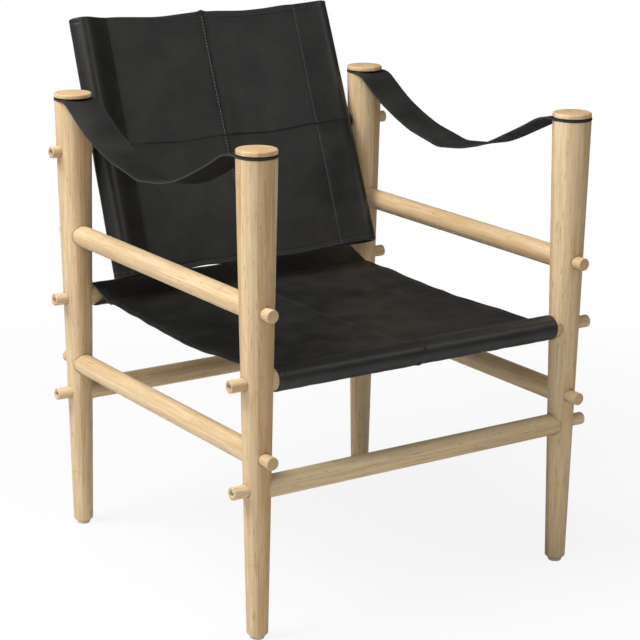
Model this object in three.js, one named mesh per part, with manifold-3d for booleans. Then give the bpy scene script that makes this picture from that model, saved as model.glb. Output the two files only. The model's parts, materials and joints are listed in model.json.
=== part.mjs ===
// Sling lounge chair: a turned bamboo frame that carries a leather seat, a tilting leather back
// and two leather arm straps. Millimetres, +Z up. The chair faces -Y, and left and right are as
// seen from the front. The origin lies on the floor under the middle of the chair's outer box.

import * as THREE from 'three';
import { mergeVertices } from 'three/addons/utils/BufferGeometryUtils.js';
import Module from 'manifold-3d';

const wasm = await Module();
wasm.setup();

// Posts
const POST_SPACING_X = 534; // between post axes, side to side
const POST_SPACING_Y = 526; // between post axes, front to back
const POST_HEIGHT = 690; // floor to the top of the post's cap
const POST_TOP_DIAMETER = 57; // taper, measured at POST_HEIGHT
const POST_FOOT_DIAMETER = 30; // taper, measured at the floor
const POST_TOP_EDGE = 1;
const POST_FOOT_CHAMFER = 4;

// Caps and glides
const CAP_STEP = 0.25; // from the top of the taper in to the cap's edge
const CAP_HEIGHT = 6.5;
const CAP_EDGE = 1.8;
const CAP_DOWEL_DIAMETER = 24;
const CAP_DOWEL_LENGTH = 30; // below the underside of the cap
const GLIDE_DIAMETER = 20;
const GLIDE_HEIGHT = 4;
const GLIDE_EDGE = 0.8;
const GLIDE_PIN_DIAMETER = 4;
const GLIDE_PIN_LENGTH = 12;

// Rails
const RAIL_DIAMETER = 32; // side rails, seat rails, stretchers and back poles
const SOCKET_DEPTH = 9; // how far a rail's end is let into its post
const ARM_RAIL_DROP = 218; // below the top of the post
const LOWER_RAIL_HEIGHT = 267;
const SEAT_RAIL_HEIGHT = 372;
const STRETCHER_HEIGHT = 220;

// Tenons of the side rails, and the pegs in line with the cross rails
const TENON_DIAMETER = 18.5;
const TENON_EDGE = 0.8;
const TENON_REACH = 40.5; // post axis to the tenon's end
const PEG_REACH = 41; // post axis to the peg's end
const FRONT_SEAT_PEG_REACH = 44;
const PIVOT_PEG_REACH = 39.5;

// Bolts and threaded inserts
const BOLT_DIAMETER = 6;
const BOLT_HEAD_DIAMETER = 10;
const BOLT_HEAD_HEIGHT = 6;
const BOLT_HEAD_SINK = 2; // from the peg's end down to the bolt head
const BOLT_KEY_WIDTH = 5; // across the flats of the hexagon socket
const BOLT_KEY_DEPTH = 3.5;
const BOLT_EDGE = 0.6;
const INSERT_DIAMETER = 11;
const INSERT_LENGTH = 18;
const INSERT_SINK = 1; // from the rail's surface down to the insert
const INSERT_END_ROOM = 4; // empty hole past the insert

// Leather
const LEATHER_THICKNESS = 2.2;
const SLEEVE_SEAM = 48; // rail axis to the seam that closes the sleeve
const SLEEVE_FLAP = 12; // sewn flap past that seam
const SEAT_SIDE_GAP = 3.2; // between the seat leather and a post
const SEAT_SAG = 8; // at the middle of the seat
const SEAT_EDGE_SAG = 7; // at the middle of a side edge

// Back
const PIVOT_DROP = 88; // pivot axis below the top of the post
const BACK_TILT = 21; // degrees from upright
const BACK_HEIGHT = 403; // leather, along the poles
const BACK_DROP = 2.5; // from the pivot down to the middle of that height
const POLE_INSET = 5; // from the leather's edge to the pole's end
const POLE_EDGE = 2;
const BACK_BILLOW = 7; // hollow at the middle of the back
const BACK_EDGE_BILLOW = 3; // hollow at the middle of its top and bottom edges
const SPACER_DIAMETER = 16;
const SPACER_THICKNESS = 3;

// Arm straps
const STRAP_WIDTH = 58;
const STRAP_THICKNESS = 2.6;
const STRAP_SLOT = 4.4; // between the top of a post and its cap
const STRAP_SAG = 81;
const STRAP_BEND = 8; // length of the bend where the strap leaves a post
const STRAP_BELLY = 110; // how far the flat bottom of the strap's curve reaches

// Fit and fineness
const CLEARANCE = 0.3; // between pieces that touch
const POST_SIDES = 20;
const RAIL_SIDES = 16; // rails, their tenons and the pegs
const HARDWARE_SIDES = 10;
const KEY_SIDES = 6;
const LEATHER_STEPS = 6; // along the rails
const SHEET_STEPS = 8; // between the sleeves
const SLEEVE_ARC_STEPS = 6;
const STRAP_STEPS = 10; // from a post to the middle
const STRAP_END_STEPS = 5; // in a quarter of a round end

// Sizes that follow from those
const HALF_X = POST_SPACING_X / 2;
const HALF_Y = POST_SPACING_Y / 2;
const RAIL_RADIUS = RAIL_DIAMETER / 2;
const TENON_RADIUS = TENON_DIAMETER / 2;
const POST_TOP = POST_HEIGHT - CAP_HEIGHT - STRAP_SLOT;
const ARM_RAIL_HEIGHT = POST_HEIGHT - ARM_RAIL_DROP;
const PIVOT_HEIGHT = POST_HEIGHT - PIVOT_DROP;
const CAP_RADIUS = POST_TOP_DIAMETER / 2 - CAP_STEP;
const SLEEVE_BORE = RAIL_RADIUS + CLEARANCE;
const SLEEVE_RADIUS = SLEEVE_BORE + LEATHER_THICKNESS;
const SPACER_INNER = postRadius(PIVOT_HEIGHT) + CLEARANCE + SPACER_THICKNESS; // from the post's axis
const POLE_X = HALF_X - SPACER_INNER - CLEARANCE - SLEEVE_RADIUS;
const SEAT_WIDTH = 2 * (HALF_X - postRadius(SEAT_RAIL_HEIGHT) - SEAT_SIDE_GAP);
const PAST_POST = POST_TOP_DIAMETER; // long enough to cut right through a post

// Finishes
const BAMBOO = { color: 0xdcbb8a, roughness: 0.55, metalness: 0 };
const BLACK_LEATHER = { color: 0x232221, roughness: 0.5, metalness: 0 };
const STEEL = { color: 0xb9b9b6, roughness: 0.35, metalness: 1 };
const BRASS = { color: 0xb08d4a, roughness: 0.4, metalness: 1 };
const GREY_PLASTIC = { color: 0xc9c8c4, roughness: 0.6, metalness: 0 };
const BLACK_PLASTIC = { color: 0x1c1c1c, roughness: 0.5, metalness: 0 };

// Where things are
const SIDES = [
  { name: 'left', x: -1, outward: Math.PI },
  { name: 'right', x: 1, outward: 0 },
];
const ROWS = [
  { name: 'front', y: -1, outward: -Math.PI / 2 },
  { name: 'rear', y: 1, outward: Math.PI / 2 },
];
const SIDE_RAILS = [
  { name: 'arm_rail', height: ARM_RAIL_HEIGHT },
  { name: 'lower_rail', height: LOWER_RAIL_HEIGHT },
];
const CROSS_RAILS = [
  { name: 'seat_front_rail', row: 'front', height: SEAT_RAIL_HEIGHT, reach: FRONT_SEAT_PEG_REACH },
  { name: 'seat_rear_rail', row: 'rear', height: SEAT_RAIL_HEIGHT, reach: PEG_REACH },
  { name: 'front_stretcher', row: 'front', height: STRETCHER_HEIGHT, reach: PEG_REACH },
  { name: 'rear_stretcher', row: 'rear', height: STRETCHER_HEIGHT, reach: PEG_REACH },
];

function postRadius(height) {
  return THREE.MathUtils.lerp(POST_FOOT_DIAMETER, POST_TOP_DIAMETER, height / POST_HEIGHT) / 2;
}

// Distance from a post's axis to the floor of a rail socket at this height.
function socketFloor(height) {
  return postRadius(height) - SOCKET_DEPTH;
}

// A closed geometry as a solid that can be cut and joined.
function toSolid(geometry) {
  const bare = geometry.clone();
  bare.deleteAttribute('normal');
  bare.deleteAttribute('uv');
  const merged = mergeVertices(bare);
  const corners = merged.index.array;
  const kept = [];
  for (let i = 0; i < corners.length; i += 3) {
    const [a, b, c] = corners.slice(i, i + 3);
    if (a !== b && b !== c && c !== a) kept.push(a, b, c);
  }
  return new wasm.Manifold(new wasm.Mesh({
    numProp: 3,
    vertProperties: new Float32Array(merged.attributes.position.array),
    triVerts: new Uint32Array(kept),
  }));
}

function toGeometry(solid) {
  const { vertProperties, triVerts } = solid.getMesh();
  const geometry = new THREE.BufferGeometry();
  geometry.setAttribute('position', new THREE.BufferAttribute(vertProperties, 3));
  geometry.setIndex(new THREE.BufferAttribute(triVerts, 1));
  geometry.computeVertexNormals();
  return geometry;
}

function cut(geometry, tools) {
  const solid = tools.map(toSolid).reduce((left, tool) => left.subtract(tool), toSolid(geometry));
  return toGeometry(solid);
}

// A turned piece along +X. The profile is a list of [radius, distance along the axis].
function turned(profile, sides) {
  const points = profile.map(([radius, along]) => new THREE.Vector2(radius, along));
  return new THREE.LatheGeometry(points, sides).rotateZ(-Math.PI / 2);
}

// A plain round bar along +X, used to cut holes.
function bar(radius, from, to, sides) {
  const geometry = new THREE.CylinderGeometry(radius, radius, to - from, sides);
  return geometry.rotateZ(-Math.PI / 2).translate((from + to) / 2, 0, 0);
}

// Turns a piece made along +X to stand along +Z.
function upright(geometry) {
  return geometry.rotateY(-Math.PI / 2);
}

function piece(name, geometry, finish) {
  const mesh = new THREE.Mesh(geometry, new THREE.MeshStandardMaterial(finish));
  mesh.name = name;
  return mesh;
}

function group(...children) {
  return new THREE.Group().add(...children);
}

// Post: a tapered turning with a socket and a through hole for each rail that meets it.
function railHole(height, outward) {
  const floor = socketFloor(height);
  const socket = bar(RAIL_RADIUS + CLEARANCE, -PAST_POST, -floor, RAIL_SIDES);
  const through = bar(TENON_RADIUS + CLEARANCE, -floor - CLEARANCE, PAST_POST, RAIL_SIDES);
  return [socket, through].map((tool) => tool.rotateZ(outward).translate(0, 0, height));
}

function postGeometry(side, row) {
  const foot = GLIDE_HEIGHT + CLEARANCE;
  const body = upright(turned([
    [0, foot],
    [postRadius(foot) - POST_FOOT_CHAMFER, foot],
    [postRadius(foot + POST_FOOT_CHAMFER), foot + POST_FOOT_CHAMFER],
    [postRadius(POST_TOP - POST_TOP_EDGE), POST_TOP - POST_TOP_EDGE],
    [postRadius(POST_TOP) - POST_TOP_EDGE, POST_TOP],
    [0, POST_TOP],
  ], POST_SIDES));
  const dowelFloor = POST_HEIGHT - CAP_HEIGHT - CAP_DOWEL_LENGTH - CLEARANCE;
  const dowelHole = bar(CAP_DOWEL_DIAMETER / 2 + CLEARANCE, dowelFloor, POST_HEIGHT, POST_SIDES);
  const pinTop = GLIDE_HEIGHT + GLIDE_PIN_LENGTH + CLEARANCE;
  const pinHole = bar(GLIDE_PIN_DIAMETER / 2 + CLEARANCE, 0, pinTop, HARDWARE_SIDES);
  const tools = [upright(dowelHole), upright(pinHole)];
  for (const rail of SIDE_RAILS) tools.push(...railHole(rail.height, row.outward));
  for (const rail of CROSS_RAILS) {
    if (rail.row === row.name) tools.push(...railHole(rail.height, side.outward));
  }
  if (row.name === 'rear') {
    const pivotHole = bar(TENON_RADIUS + CLEARANCE, -PAST_POST, PAST_POST, RAIL_SIDES);
    tools.push(pivotHole.translate(0, 0, PIVOT_HEIGHT));
  }
  return cut(body, tools);
}

// Cap: a thin disc whose dowel goes through the strap's end into the post.
function capGeometry() {
  const under = POST_HEIGHT - CAP_HEIGHT;
  return upright(turned([
    [0, under - CAP_DOWEL_LENGTH],
    [CAP_DOWEL_DIAMETER / 2, under - CAP_DOWEL_LENGTH],
    [CAP_DOWEL_DIAMETER / 2, under],
    [CAP_RADIUS, under],
    [CAP_RADIUS, POST_HEIGHT - CAP_EDGE],
    [CAP_RADIUS - CAP_EDGE, POST_HEIGHT],
    [0, POST_HEIGHT],
  ], POST_SIDES));
}

// Glide: a round foot with a pin that is driven into the post.
function glideGeometry() {
  return upright(turned([
    [0, 0],
    [GLIDE_DIAMETER / 2 - GLIDE_EDGE, 0],
    [GLIDE_DIAMETER / 2, GLIDE_EDGE],
    [GLIDE_DIAMETER / 2, GLIDE_HEIGHT],
    [GLIDE_PIN_DIAMETER / 2, GLIDE_HEIGHT],
    [GLIDE_PIN_DIAMETER / 2, GLIDE_HEIGHT + GLIDE_PIN_LENGTH],
    [0, GLIDE_HEIGHT + GLIDE_PIN_LENGTH],
  ], HARDWARE_SIDES));
}

function postPieces(side, row) {
  const corner = `${row.name}_${side.name}`;
  const stand = group(
    piece(`${corner}_post`, postGeometry(side, row), BAMBOO),
    piece(`${corner}_cap`, capGeometry(), BAMBOO),
    piece(`${corner}_glide`, glideGeometry(), GREY_PLASTIC),
  );
  stand.position.set(side.x * HALF_X, row.y * HALF_Y, 0);
  return stand;
}

// Side rail: a turning with a shoulder in each post's socket and a tenon right through the post.
function sideRail(name, side, height) {
  const shoulder = HALF_Y - socketFloor(height) - CLEARANCE;
  const end = HALF_Y + TENON_REACH;
  const half = [
    [RAIL_RADIUS, shoulder],
    [TENON_RADIUS, shoulder],
    [TENON_RADIUS, end - TENON_EDGE],
    [TENON_RADIUS - TENON_EDGE, end],
    [0, end],
  ];
  const mirrored = half.map(([radius, along]) => [radius, -along]).reverse();
  const rail = piece(name, turned([...mirrored, ...half], RAIL_SIDES), BAMBOO);
  rail.rotation.z = Math.PI / 2;
  rail.position.set(side.x * HALF_X, 0, height);
  return rail;
}

// Cross rail: a plain bar with a hole for a threaded insert in each end.
function crossRail(rail, y) {
  const end = HALF_X - socketFloor(rail.height) - CLEARANCE;
  const hole = INSERT_DIAMETER / 2 + CLEARANCE;
  const floor = end - INSERT_SINK - INSERT_LENGTH - INSERT_END_ROOM;
  const half = [
    [RAIL_RADIUS, end],
    [hole, end],
    [hole, floor],
    [0, floor],
  ];
  const mirrored = half.map(([radius, along]) => [radius, -along]).reverse();
  const mesh = piece(rail.name, turned([...mirrored, ...half], RAIL_SIDES), BAMBOO);
  mesh.position.set(0, y, rail.height);
  return mesh;
}

// Peg, bolt and insert lie along +X, which points out of the chair, from the post's axis.
// Peg: a wooden bush through the post, counterbored for the bolt head.
function pegGeometry(inner, reach) {
  const bore = BOLT_DIAMETER / 2 + CLEARANCE;
  const counterbore = BOLT_HEAD_DIAMETER / 2 + CLEARANCE;
  const seat = boltSeat(reach);
  return turned([
    [bore, inner],
    [TENON_RADIUS, inner],
    [TENON_RADIUS, reach - TENON_EDGE],
    [TENON_RADIUS - TENON_EDGE, reach],
    [counterbore, reach],
    [counterbore, seat],
    [bore, seat],
    [bore, inner],
  ], RAIL_SIDES);
}

// Distance from the post's axis to the underside of the bolt head's counterbore.
function boltSeat(reach) {
  return reach - BOLT_HEAD_SINK - BOLT_HEAD_HEIGHT - CLEARANCE;
}

// Bolt: a socket-head bolt that reaches from the peg to the far end of the insert.
function boltGeometry(tip, reach) {
  const under = boltSeat(reach) + CLEARANCE;
  const top = under + BOLT_HEAD_HEIGHT;
  const body = turned([
    [0, tip],
    [BOLT_DIAMETER / 2, tip],
    [BOLT_DIAMETER / 2, under],
    [BOLT_HEAD_DIAMETER / 2, under],
    [BOLT_HEAD_DIAMETER / 2, top - BOLT_EDGE],
    [BOLT_HEAD_DIAMETER / 2 - BOLT_EDGE, top],
    [0, top],
  ], HARDWARE_SIDES);
  const keyRadius = BOLT_KEY_WIDTH / 2 / Math.cos(Math.PI / KEY_SIDES);
  return cut(body, [bar(keyRadius, top - BOLT_KEY_DEPTH, top + BOLT_KEY_DEPTH, KEY_SIDES)]);
}

// Insert: a threaded metal sleeve in the wood, from inner to outer.
function insertGeometry(inner, outer) {
  const bore = BOLT_DIAMETER / 2 + CLEARANCE;
  return turned([
    [bore, inner],
    [INSERT_DIAMETER / 2, inner],
    [INSERT_DIAMETER / 2, outer],
    [bore, outer],
    [bore, inner],
  ], HARDWARE_SIDES);
}

function crossJoint(rail, side, y) {
  const floor = -socketFloor(rail.height);
  const insertOuter = floor - CLEARANCE - INSERT_SINK;
  const insertInner = insertOuter - INSERT_LENGTH;
  const name = `${rail.name}_${side.name}`;
  const joint = group(
    piece(`${name}_peg`, pegGeometry(floor, rail.reach), BAMBOO),
    piece(`${name}_bolt`, boltGeometry(insertInner, rail.reach), STEEL),
    piece(`${name}_insert`, insertGeometry(insertInner, insertOuter), BRASS),
  );
  joint.rotation.z = side.outward;
  joint.position.set(side.x * HALF_X, y, rail.height);
  return joint;
}

// Sling: a sheet between two parallel bars. Each end goes over its bar, round it and back under the
// sheet, where a flap is sewn down. The section is drawn with the span along x and the sheet's face up.
function tangentAngle(centre, radius, point, side) {
  const away = new THREE.Vector2().subVectors(point, centre);
  return away.angle() - side * Math.acos(radius / away.length());
}

// How much of the sling's hollow is felt at this distance from the middle of its span.
function hollowShare(across, span) {
  const reach = span / 2 - SLEEVE_SEAM;
  return Math.cos(Math.min(Math.abs(across) / reach, 1) * Math.PI / 2) ** 2;
}

// The section at the sling's free edges, where the sheet is least hollow.
function slingSection(span, edgeDepth) {
  const centre = new THREE.Vector2(span / 2, 0);
  const seam = span / 2 - SLEEVE_SEAM;
  const flapEnd = seam - SLEEVE_FLAP;
  const face = LEATHER_THICKNESS / 2;
  const top = new THREE.Vector2(seam, face);
  const tip = new THREE.Vector2(seam, -face);
  const under = new THREE.Vector2(seam, -face - LEATHER_THICKNESS);
  const sheetPoint = (across, side) => (
    new THREE.Vector2(across, side * face - edgeDepth * hollowShare(across, span))
  );
  const outer = new THREE.Path();
  const from = tangentAngle(centre, SLEEVE_RADIUS, top, 1);
  const to = tangentAngle(centre, SLEEVE_RADIUS, under, -1);
  outer.absarc(centre.x, centre.y, SLEEVE_RADIUS, from, to, true);
  const flapCorner = sheetPoint(flapEnd, -1);
  const flapUnder = new THREE.Vector2(flapEnd, flapCorner.y - LEATHER_THICKNESS);
  const end = [top, ...outer.getPoints(SLEEVE_ARC_STEPS), under, flapUnder, flapCorner];
  const stops = [];
  for (let i = 1; i < SHEET_STEPS; i += 1) {
    stops.push(THREE.MathUtils.lerp(flapEnd, -flapEnd, i / SHEET_STEPS));
  }
  const lowerSheet = stops.map((across) => sheetPoint(across, -1));
  const upperSheet = stops.map((across) => sheetPoint(-across, 1));
  const mirror = (point) => new THREE.Vector2(-point.x, point.y);
  const shape = new THREE.Shape([...end, ...lowerSheet, ...end.map(mirror).reverse(), ...upperSheet]);
  const inner = new THREE.Path();
  const innerFrom = tangentAngle(centre, SLEEVE_BORE, tip, -1);
  const innerTo = tangentAngle(centre, SLEEVE_BORE, tip, 1);
  inner.absarc(centre.x, centre.y, SLEEVE_BORE, innerFrom, innerTo, false);
  const sleeve = [tip, ...inner.getPoints(SLEEVE_ARC_STEPS)];
  shape.holes = [new THREE.Path(sleeve), new THREE.Path(sleeve.map(mirror).reverse())];
  return shape;
}

// A sling of this width along its bars, hollowed further from its free edges to its middle.
function slingGeometry(span, width, middleDepth, edgeDepth) {
  const options = { depth: width, steps: LEATHER_STEPS, bevelEnabled: false };
  const geometry = new THREE.ExtrudeGeometry(slingSection(span, edgeDepth), options);
  geometry.translate(0, 0, -width / 2);
  const points = geometry.attributes.position;
  for (let i = 0; i < points.count; i += 1) {
    const along = points.getZ(i) / (width / 2);
    const depth = (middleDepth - edgeDepth) * (1 - along ** 2);
    points.setY(i, points.getY(i) - depth * hollowShare(points.getX(i), span));
  }
  return geometry;
}

// A turn that lays a drawing's x, y and depth along the given directions.
function axes(x, y, z) {
  const [first, second, third] = [x, y, z].map((axis) => new THREE.Vector3(...axis));
  return new THREE.Matrix4().makeBasis(first, second, third);
}

function seatLeather() {
  const sling = slingGeometry(POST_SPACING_Y, SEAT_WIDTH, SEAT_SAG, SEAT_EDGE_SAG);
  sling.applyMatrix4(axes([0, 1, 0], [0, 0, 1], [1, 0, 0]));
  const seat = piece('seat_leather', sling, BLACK_LEATHER);
  seat.position.z = SEAT_RAIL_HEIGHT;
  return seat;
}

// Back: a sling on two poles that turn together on the pivot bolts of the rear posts.
function backPole(side) {
  const end = BACK_HEIGHT / 2 - POLE_INSET;
  const body = upright(turned([
    [0, -end],
    [RAIL_RADIUS - POLE_EDGE, -end],
    [RAIL_RADIUS, POLE_EDGE - end],
    [RAIL_RADIUS, end - POLE_EDGE],
    [RAIL_RADIUS - POLE_EDGE, end],
    [0, end],
  ], RAIL_SIDES)).translate(0, 0, -BACK_DROP);
  const holeFloor = RAIL_RADIUS - INSERT_SINK - INSERT_LENGTH - INSERT_END_ROOM;
  const hole = bar(INSERT_DIAMETER / 2 + CLEARANCE, holeFloor, RAIL_DIAMETER, HARDWARE_SIDES);
  const pole = piece(`back_${side.name}_pole`, cut(body, [hole.rotateZ(side.outward)]), BAMBOO);
  pole.position.x = side.x * POLE_X;
  return pole;
}

function pivotHardware(side) {
  const insertOuter = POLE_X - HALF_X + RAIL_RADIUS - INSERT_SINK;
  const insertInner = insertOuter - INSERT_LENGTH;
  const spacerBore = BOLT_DIAMETER / 2 + CLEARANCE;
  const spacer = turned([
    [spacerBore, -SPACER_INNER],
    [SPACER_DIAMETER / 2, -SPACER_INNER],
    [SPACER_DIAMETER / 2, SPACER_THICKNESS - SPACER_INNER],
    [spacerBore, SPACER_THICKNESS - SPACER_INNER],
    [spacerBore, -SPACER_INNER],
  ], HARDWARE_SIDES);
  const hardware = group(
    piece(`back_${side.name}_bolt`, boltGeometry(insertInner, PIVOT_PEG_REACH), STEEL),
    piece(`back_${side.name}_insert`, insertGeometry(insertInner, insertOuter), BRASS),
    piece(`back_${side.name}_spacer`, spacer, BLACK_PLASTIC),
  );
  hardware.rotation.z = side.outward;
  hardware.position.x = side.x * HALF_X;
  return hardware;
}

function backLeather() {
  const sling = slingGeometry(2 * POLE_X, BACK_HEIGHT, BACK_BILLOW, BACK_EDGE_BILLOW);
  sling.applyMatrix4(axes([1, 0, 0], [0, -1, 0], [0, 0, -1])).translate(0, 0, -BACK_DROP);
  const boltHole = BOLT_DIAMETER / 2 + CLEARANCE;
  const holes = SIDES.map((side) => bar(boltHole, POLE_X, HALF_X, HARDWARE_SIDES).rotateZ(side.outward));
  return piece('back_leather', cut(sling, holes), BLACK_LEATHER);
}

function back() {
  const parts = group(backLeather());
  for (const side of SIDES) parts.add(backPole(side), pivotHardware(side));
  parts.rotation.x = -THREE.MathUtils.degToRad(BACK_TILT);
  parts.position.set(0, HALF_Y, PIVOT_HEIGHT);
  return parts;
}

function pivotPeg(side) {
  const peg = pegGeometry(-postRadius(PIVOT_HEIGHT), PIVOT_PEG_REACH);
  const mesh = piece(`back_${side.name}_peg`, peg, BAMBOO);
  mesh.rotation.z = side.outward;
  mesh.position.set(side.x * HALF_X, HALF_Y, PIVOT_HEIGHT);
  return mesh;
}

// Arm strap: a band with round ends, clamped under the caps, that hangs between two posts.
function strapProfile() {
  const level = POST_TOP + CLEARANCE + STRAP_THICKNESS / 2;
  const leave = HALF_Y - POST_TOP_DIAMETER / 2;
  const low = level - STRAP_SAG;
  const drop = new THREE.CubicBezierCurve(
    new THREE.Vector2(leave, level),
    new THREE.Vector2(leave - STRAP_BEND, level),
    new THREE.Vector2(STRAP_BELLY, low),
    new THREE.Vector2(0, low),
  );
  const upper = [new THREE.Vector2(HALF_Y + STRAP_WIDTH, level + STRAP_THICKNESS / 2)];
  const lower = [new THREE.Vector2(HALF_Y + STRAP_WIDTH, level - STRAP_THICKNESS / 2)];
  for (let i = 0; i <= STRAP_STEPS; i += 1) {
    const point = drop.getPoint(i / STRAP_STEPS);
    const tangent = drop.getTangent(i / STRAP_STEPS);
    const offset = new THREE.Vector2(tangent.y, -tangent.x).multiplyScalar(STRAP_THICKNESS / 2);
    upper.push(point.clone().add(offset));
    lower.push(point.clone().sub(offset));
  }
  const mirror = (point) => new THREE.Vector2(-point.x, point.y);
  const front = (edge) => edge.slice(0, -1).map(mirror);
  return new THREE.Shape([...upper, ...front(upper).reverse(), ...front(lower), ...lower.reverse()]);
}

function strapGeometry() {
  const options = { depth: STRAP_WIDTH, bevelEnabled: false };
  const band = new THREE.ExtrudeGeometry(strapProfile(), options).translate(0, 0, -STRAP_WIDTH / 2);
  band.applyMatrix4(axes([0, 1, 0], [0, 0, 1], [1, 0, 0]));
  const radius = STRAP_WIDTH / 2;
  const outline = new THREE.Shape();
  outline.absarc(0, HALF_Y, radius, 0, Math.PI, false);
  outline.absarc(0, -HALF_Y, radius, Math.PI, 2 * Math.PI, false);
  const block = { depth: POST_HEIGHT, bevelEnabled: false, curveSegments: STRAP_END_STEPS };
  const plan = new THREE.ExtrudeGeometry(outline, block);
  const trimmed = toSolid(band).intersect(toSolid(plan));
  const holes = ROWS.map((row) => {
    const hole = bar(CAP_DOWEL_DIAMETER / 2 + CLEARANCE, 0, POST_HEIGHT, POST_SIDES);
    return upright(hole).translate(0, row.y * HALF_Y, 0);
  });
  return cut(toGeometry(trimmed), holes);
}

function armStrap(side) {
  const strap = piece(`${side.name}_arm_strap`, strapGeometry(), BLACK_LEATHER);
  strap.position.x = side.x * HALF_X;
  return strap;
}

// Chair
const chair = group(seatLeather(), back());
for (const side of SIDES) {
  for (const row of ROWS) chair.add(postPieces(side, row));
  for (const rail of SIDE_RAILS) chair.add(sideRail(`${side.name}_${rail.name}`, side, rail.height));
  chair.add(pivotPeg(side), armStrap(side));
}
for (const rail of CROSS_RAILS) {
  const { y } = ROWS.find((row) => row.name === rail.row);
  chair.add(crossRail(rail, y * HALF_Y));
  for (const side of SIDES) chair.add(crossJoint(rail, side, y * HALF_Y));
}
const middle = new THREE.Box3().setFromObject(chair, true).getCenter(new THREE.Vector3());
chair.position.y = -middle.y;

export default chair;
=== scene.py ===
# %% [markdown]
# # A sling lounge chair in bamboo and black leather
# Four tapered bamboo posts carry everything. Round rails are let into the posts, one sheet of
# leather is stretched over two of them for the seat, a second sheet on two loose poles makes a
# back that tilts, and a broad strap hangs from post to post on each side as an armrest.
# We build the looks of that chair around its packed construction. First we load the frame, keep
# its outer box for later, and set the unit that all sizes here are written in.

# %% Load the frame
import bisect
import json
import math
import bmesh
import bpy
from mathutils import Matrix, Vector, noise

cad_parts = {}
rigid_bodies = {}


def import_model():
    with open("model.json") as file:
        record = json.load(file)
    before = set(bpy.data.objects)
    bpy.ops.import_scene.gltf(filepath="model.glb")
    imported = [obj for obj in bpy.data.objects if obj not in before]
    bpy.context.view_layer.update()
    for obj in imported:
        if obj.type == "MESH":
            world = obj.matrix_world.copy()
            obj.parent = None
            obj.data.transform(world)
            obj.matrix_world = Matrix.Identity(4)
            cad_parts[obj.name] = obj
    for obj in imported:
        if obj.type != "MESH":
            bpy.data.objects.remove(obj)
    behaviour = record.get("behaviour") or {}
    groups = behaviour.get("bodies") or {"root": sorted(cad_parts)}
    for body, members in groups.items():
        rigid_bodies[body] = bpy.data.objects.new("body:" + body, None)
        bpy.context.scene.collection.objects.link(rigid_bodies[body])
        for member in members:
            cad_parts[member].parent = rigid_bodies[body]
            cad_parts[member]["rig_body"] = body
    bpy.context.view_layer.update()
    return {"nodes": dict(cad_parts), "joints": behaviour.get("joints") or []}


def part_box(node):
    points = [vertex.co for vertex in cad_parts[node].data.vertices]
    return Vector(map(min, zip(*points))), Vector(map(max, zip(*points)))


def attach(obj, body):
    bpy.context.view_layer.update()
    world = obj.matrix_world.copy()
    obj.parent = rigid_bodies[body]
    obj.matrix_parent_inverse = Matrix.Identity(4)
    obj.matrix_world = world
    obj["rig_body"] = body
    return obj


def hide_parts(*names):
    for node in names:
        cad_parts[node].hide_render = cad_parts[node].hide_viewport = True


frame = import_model()
MM = 0.001

# %% [markdown]
# ## Camera
# A product picture like this is taken with a long lens from a few metres away, a little above the
# seat. The lens and the place were solved from where the posts and pegs fall in the picture. A
# camera looks down its own -Z, so it is first tipped up from the floor, then turned to the side.

# %% Place the camera
CAMERA_SPOT = Vector((-1.6596, -2.5382, 1.1972))
CAMERA_AZIMUTH = math.radians(-33.56)
CAMERA_DROP = math.radians(15.59)
CAMERA_ROLL = math.radians(0.41)
FOCAL_LENGTH = 116.05
SENSOR_WIDTH = 36


def make_camera():
    camera = bpy.data.objects.new("camera", bpy.data.cameras.new("camera"))
    camera.data.lens = FOCAL_LENGTH
    camera.data.sensor_width = SENSOR_WIDTH
    turn = Matrix.Rotation(CAMERA_AZIMUTH, 4, "Z")
    turn = turn @ Matrix.Rotation(math.pi / 2 - CAMERA_DROP, 4, "X")
    turn = turn @ Matrix.Rotation(CAMERA_ROLL, 4, "Z")
    camera.matrix_world = Matrix.Translation(CAMERA_SPOT) @ turn
    bpy.context.scene.collection.objects.link(camera)
    bpy.context.scene.camera = camera
    return camera


print("camera", make_camera().matrix_world.translation)

# %% [markdown]
# ## Writing shaders as sums
# A shader is a graph of small nodes, and a pattern such as bamboo needs dozens of them. A small
# class wraps one output of a node and overloads plus, minus and times, so that the maths reads as
# maths. All other nodes come from one method that takes a node's type, its settings and its inputs.


# %% A finish and its wires
class Wire:
    """One output of a shader node."""

    def __init__(self, finish, socket):
        self.finish = finish
        self.socket = socket

    def other(self, name):
        return Wire(self.finish, self.socket.node.outputs[name])

    def math(self, operation, *values):
        return self.finish.node("ShaderNodeMath", {"operation": operation}, dict(enumerate(values)))

    def __add__(self, value):
        return self.math("ADD", self, value)

    def __sub__(self, value):
        return self.math("SUBTRACT", self, value)

    def __rsub__(self, value):
        return self.math("SUBTRACT", value, self)

    def __mul__(self, value):
        return self.math("MULTIPLY", self, value)

    def __truediv__(self, value):
        return self.math("DIVIDE", self, value)

    __radd__ = __add__
    __rmul__ = __mul__

    def floor(self):
        return self.math("FLOOR", self)

    def fraction(self):
        return self.math("FRACT", self)

    def size(self):
        return self.math("ABSOLUTE", self)

    def between(self, low, high):
        """0 below low, 1 above high and a soft step between them."""
        limits = {"Value": self, "From Min": low, "From Max": high}
        return self.finish.node("ShaderNodeMapRange", {"interpolation_type": "SMOOTHSTEP"}, limits)


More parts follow.
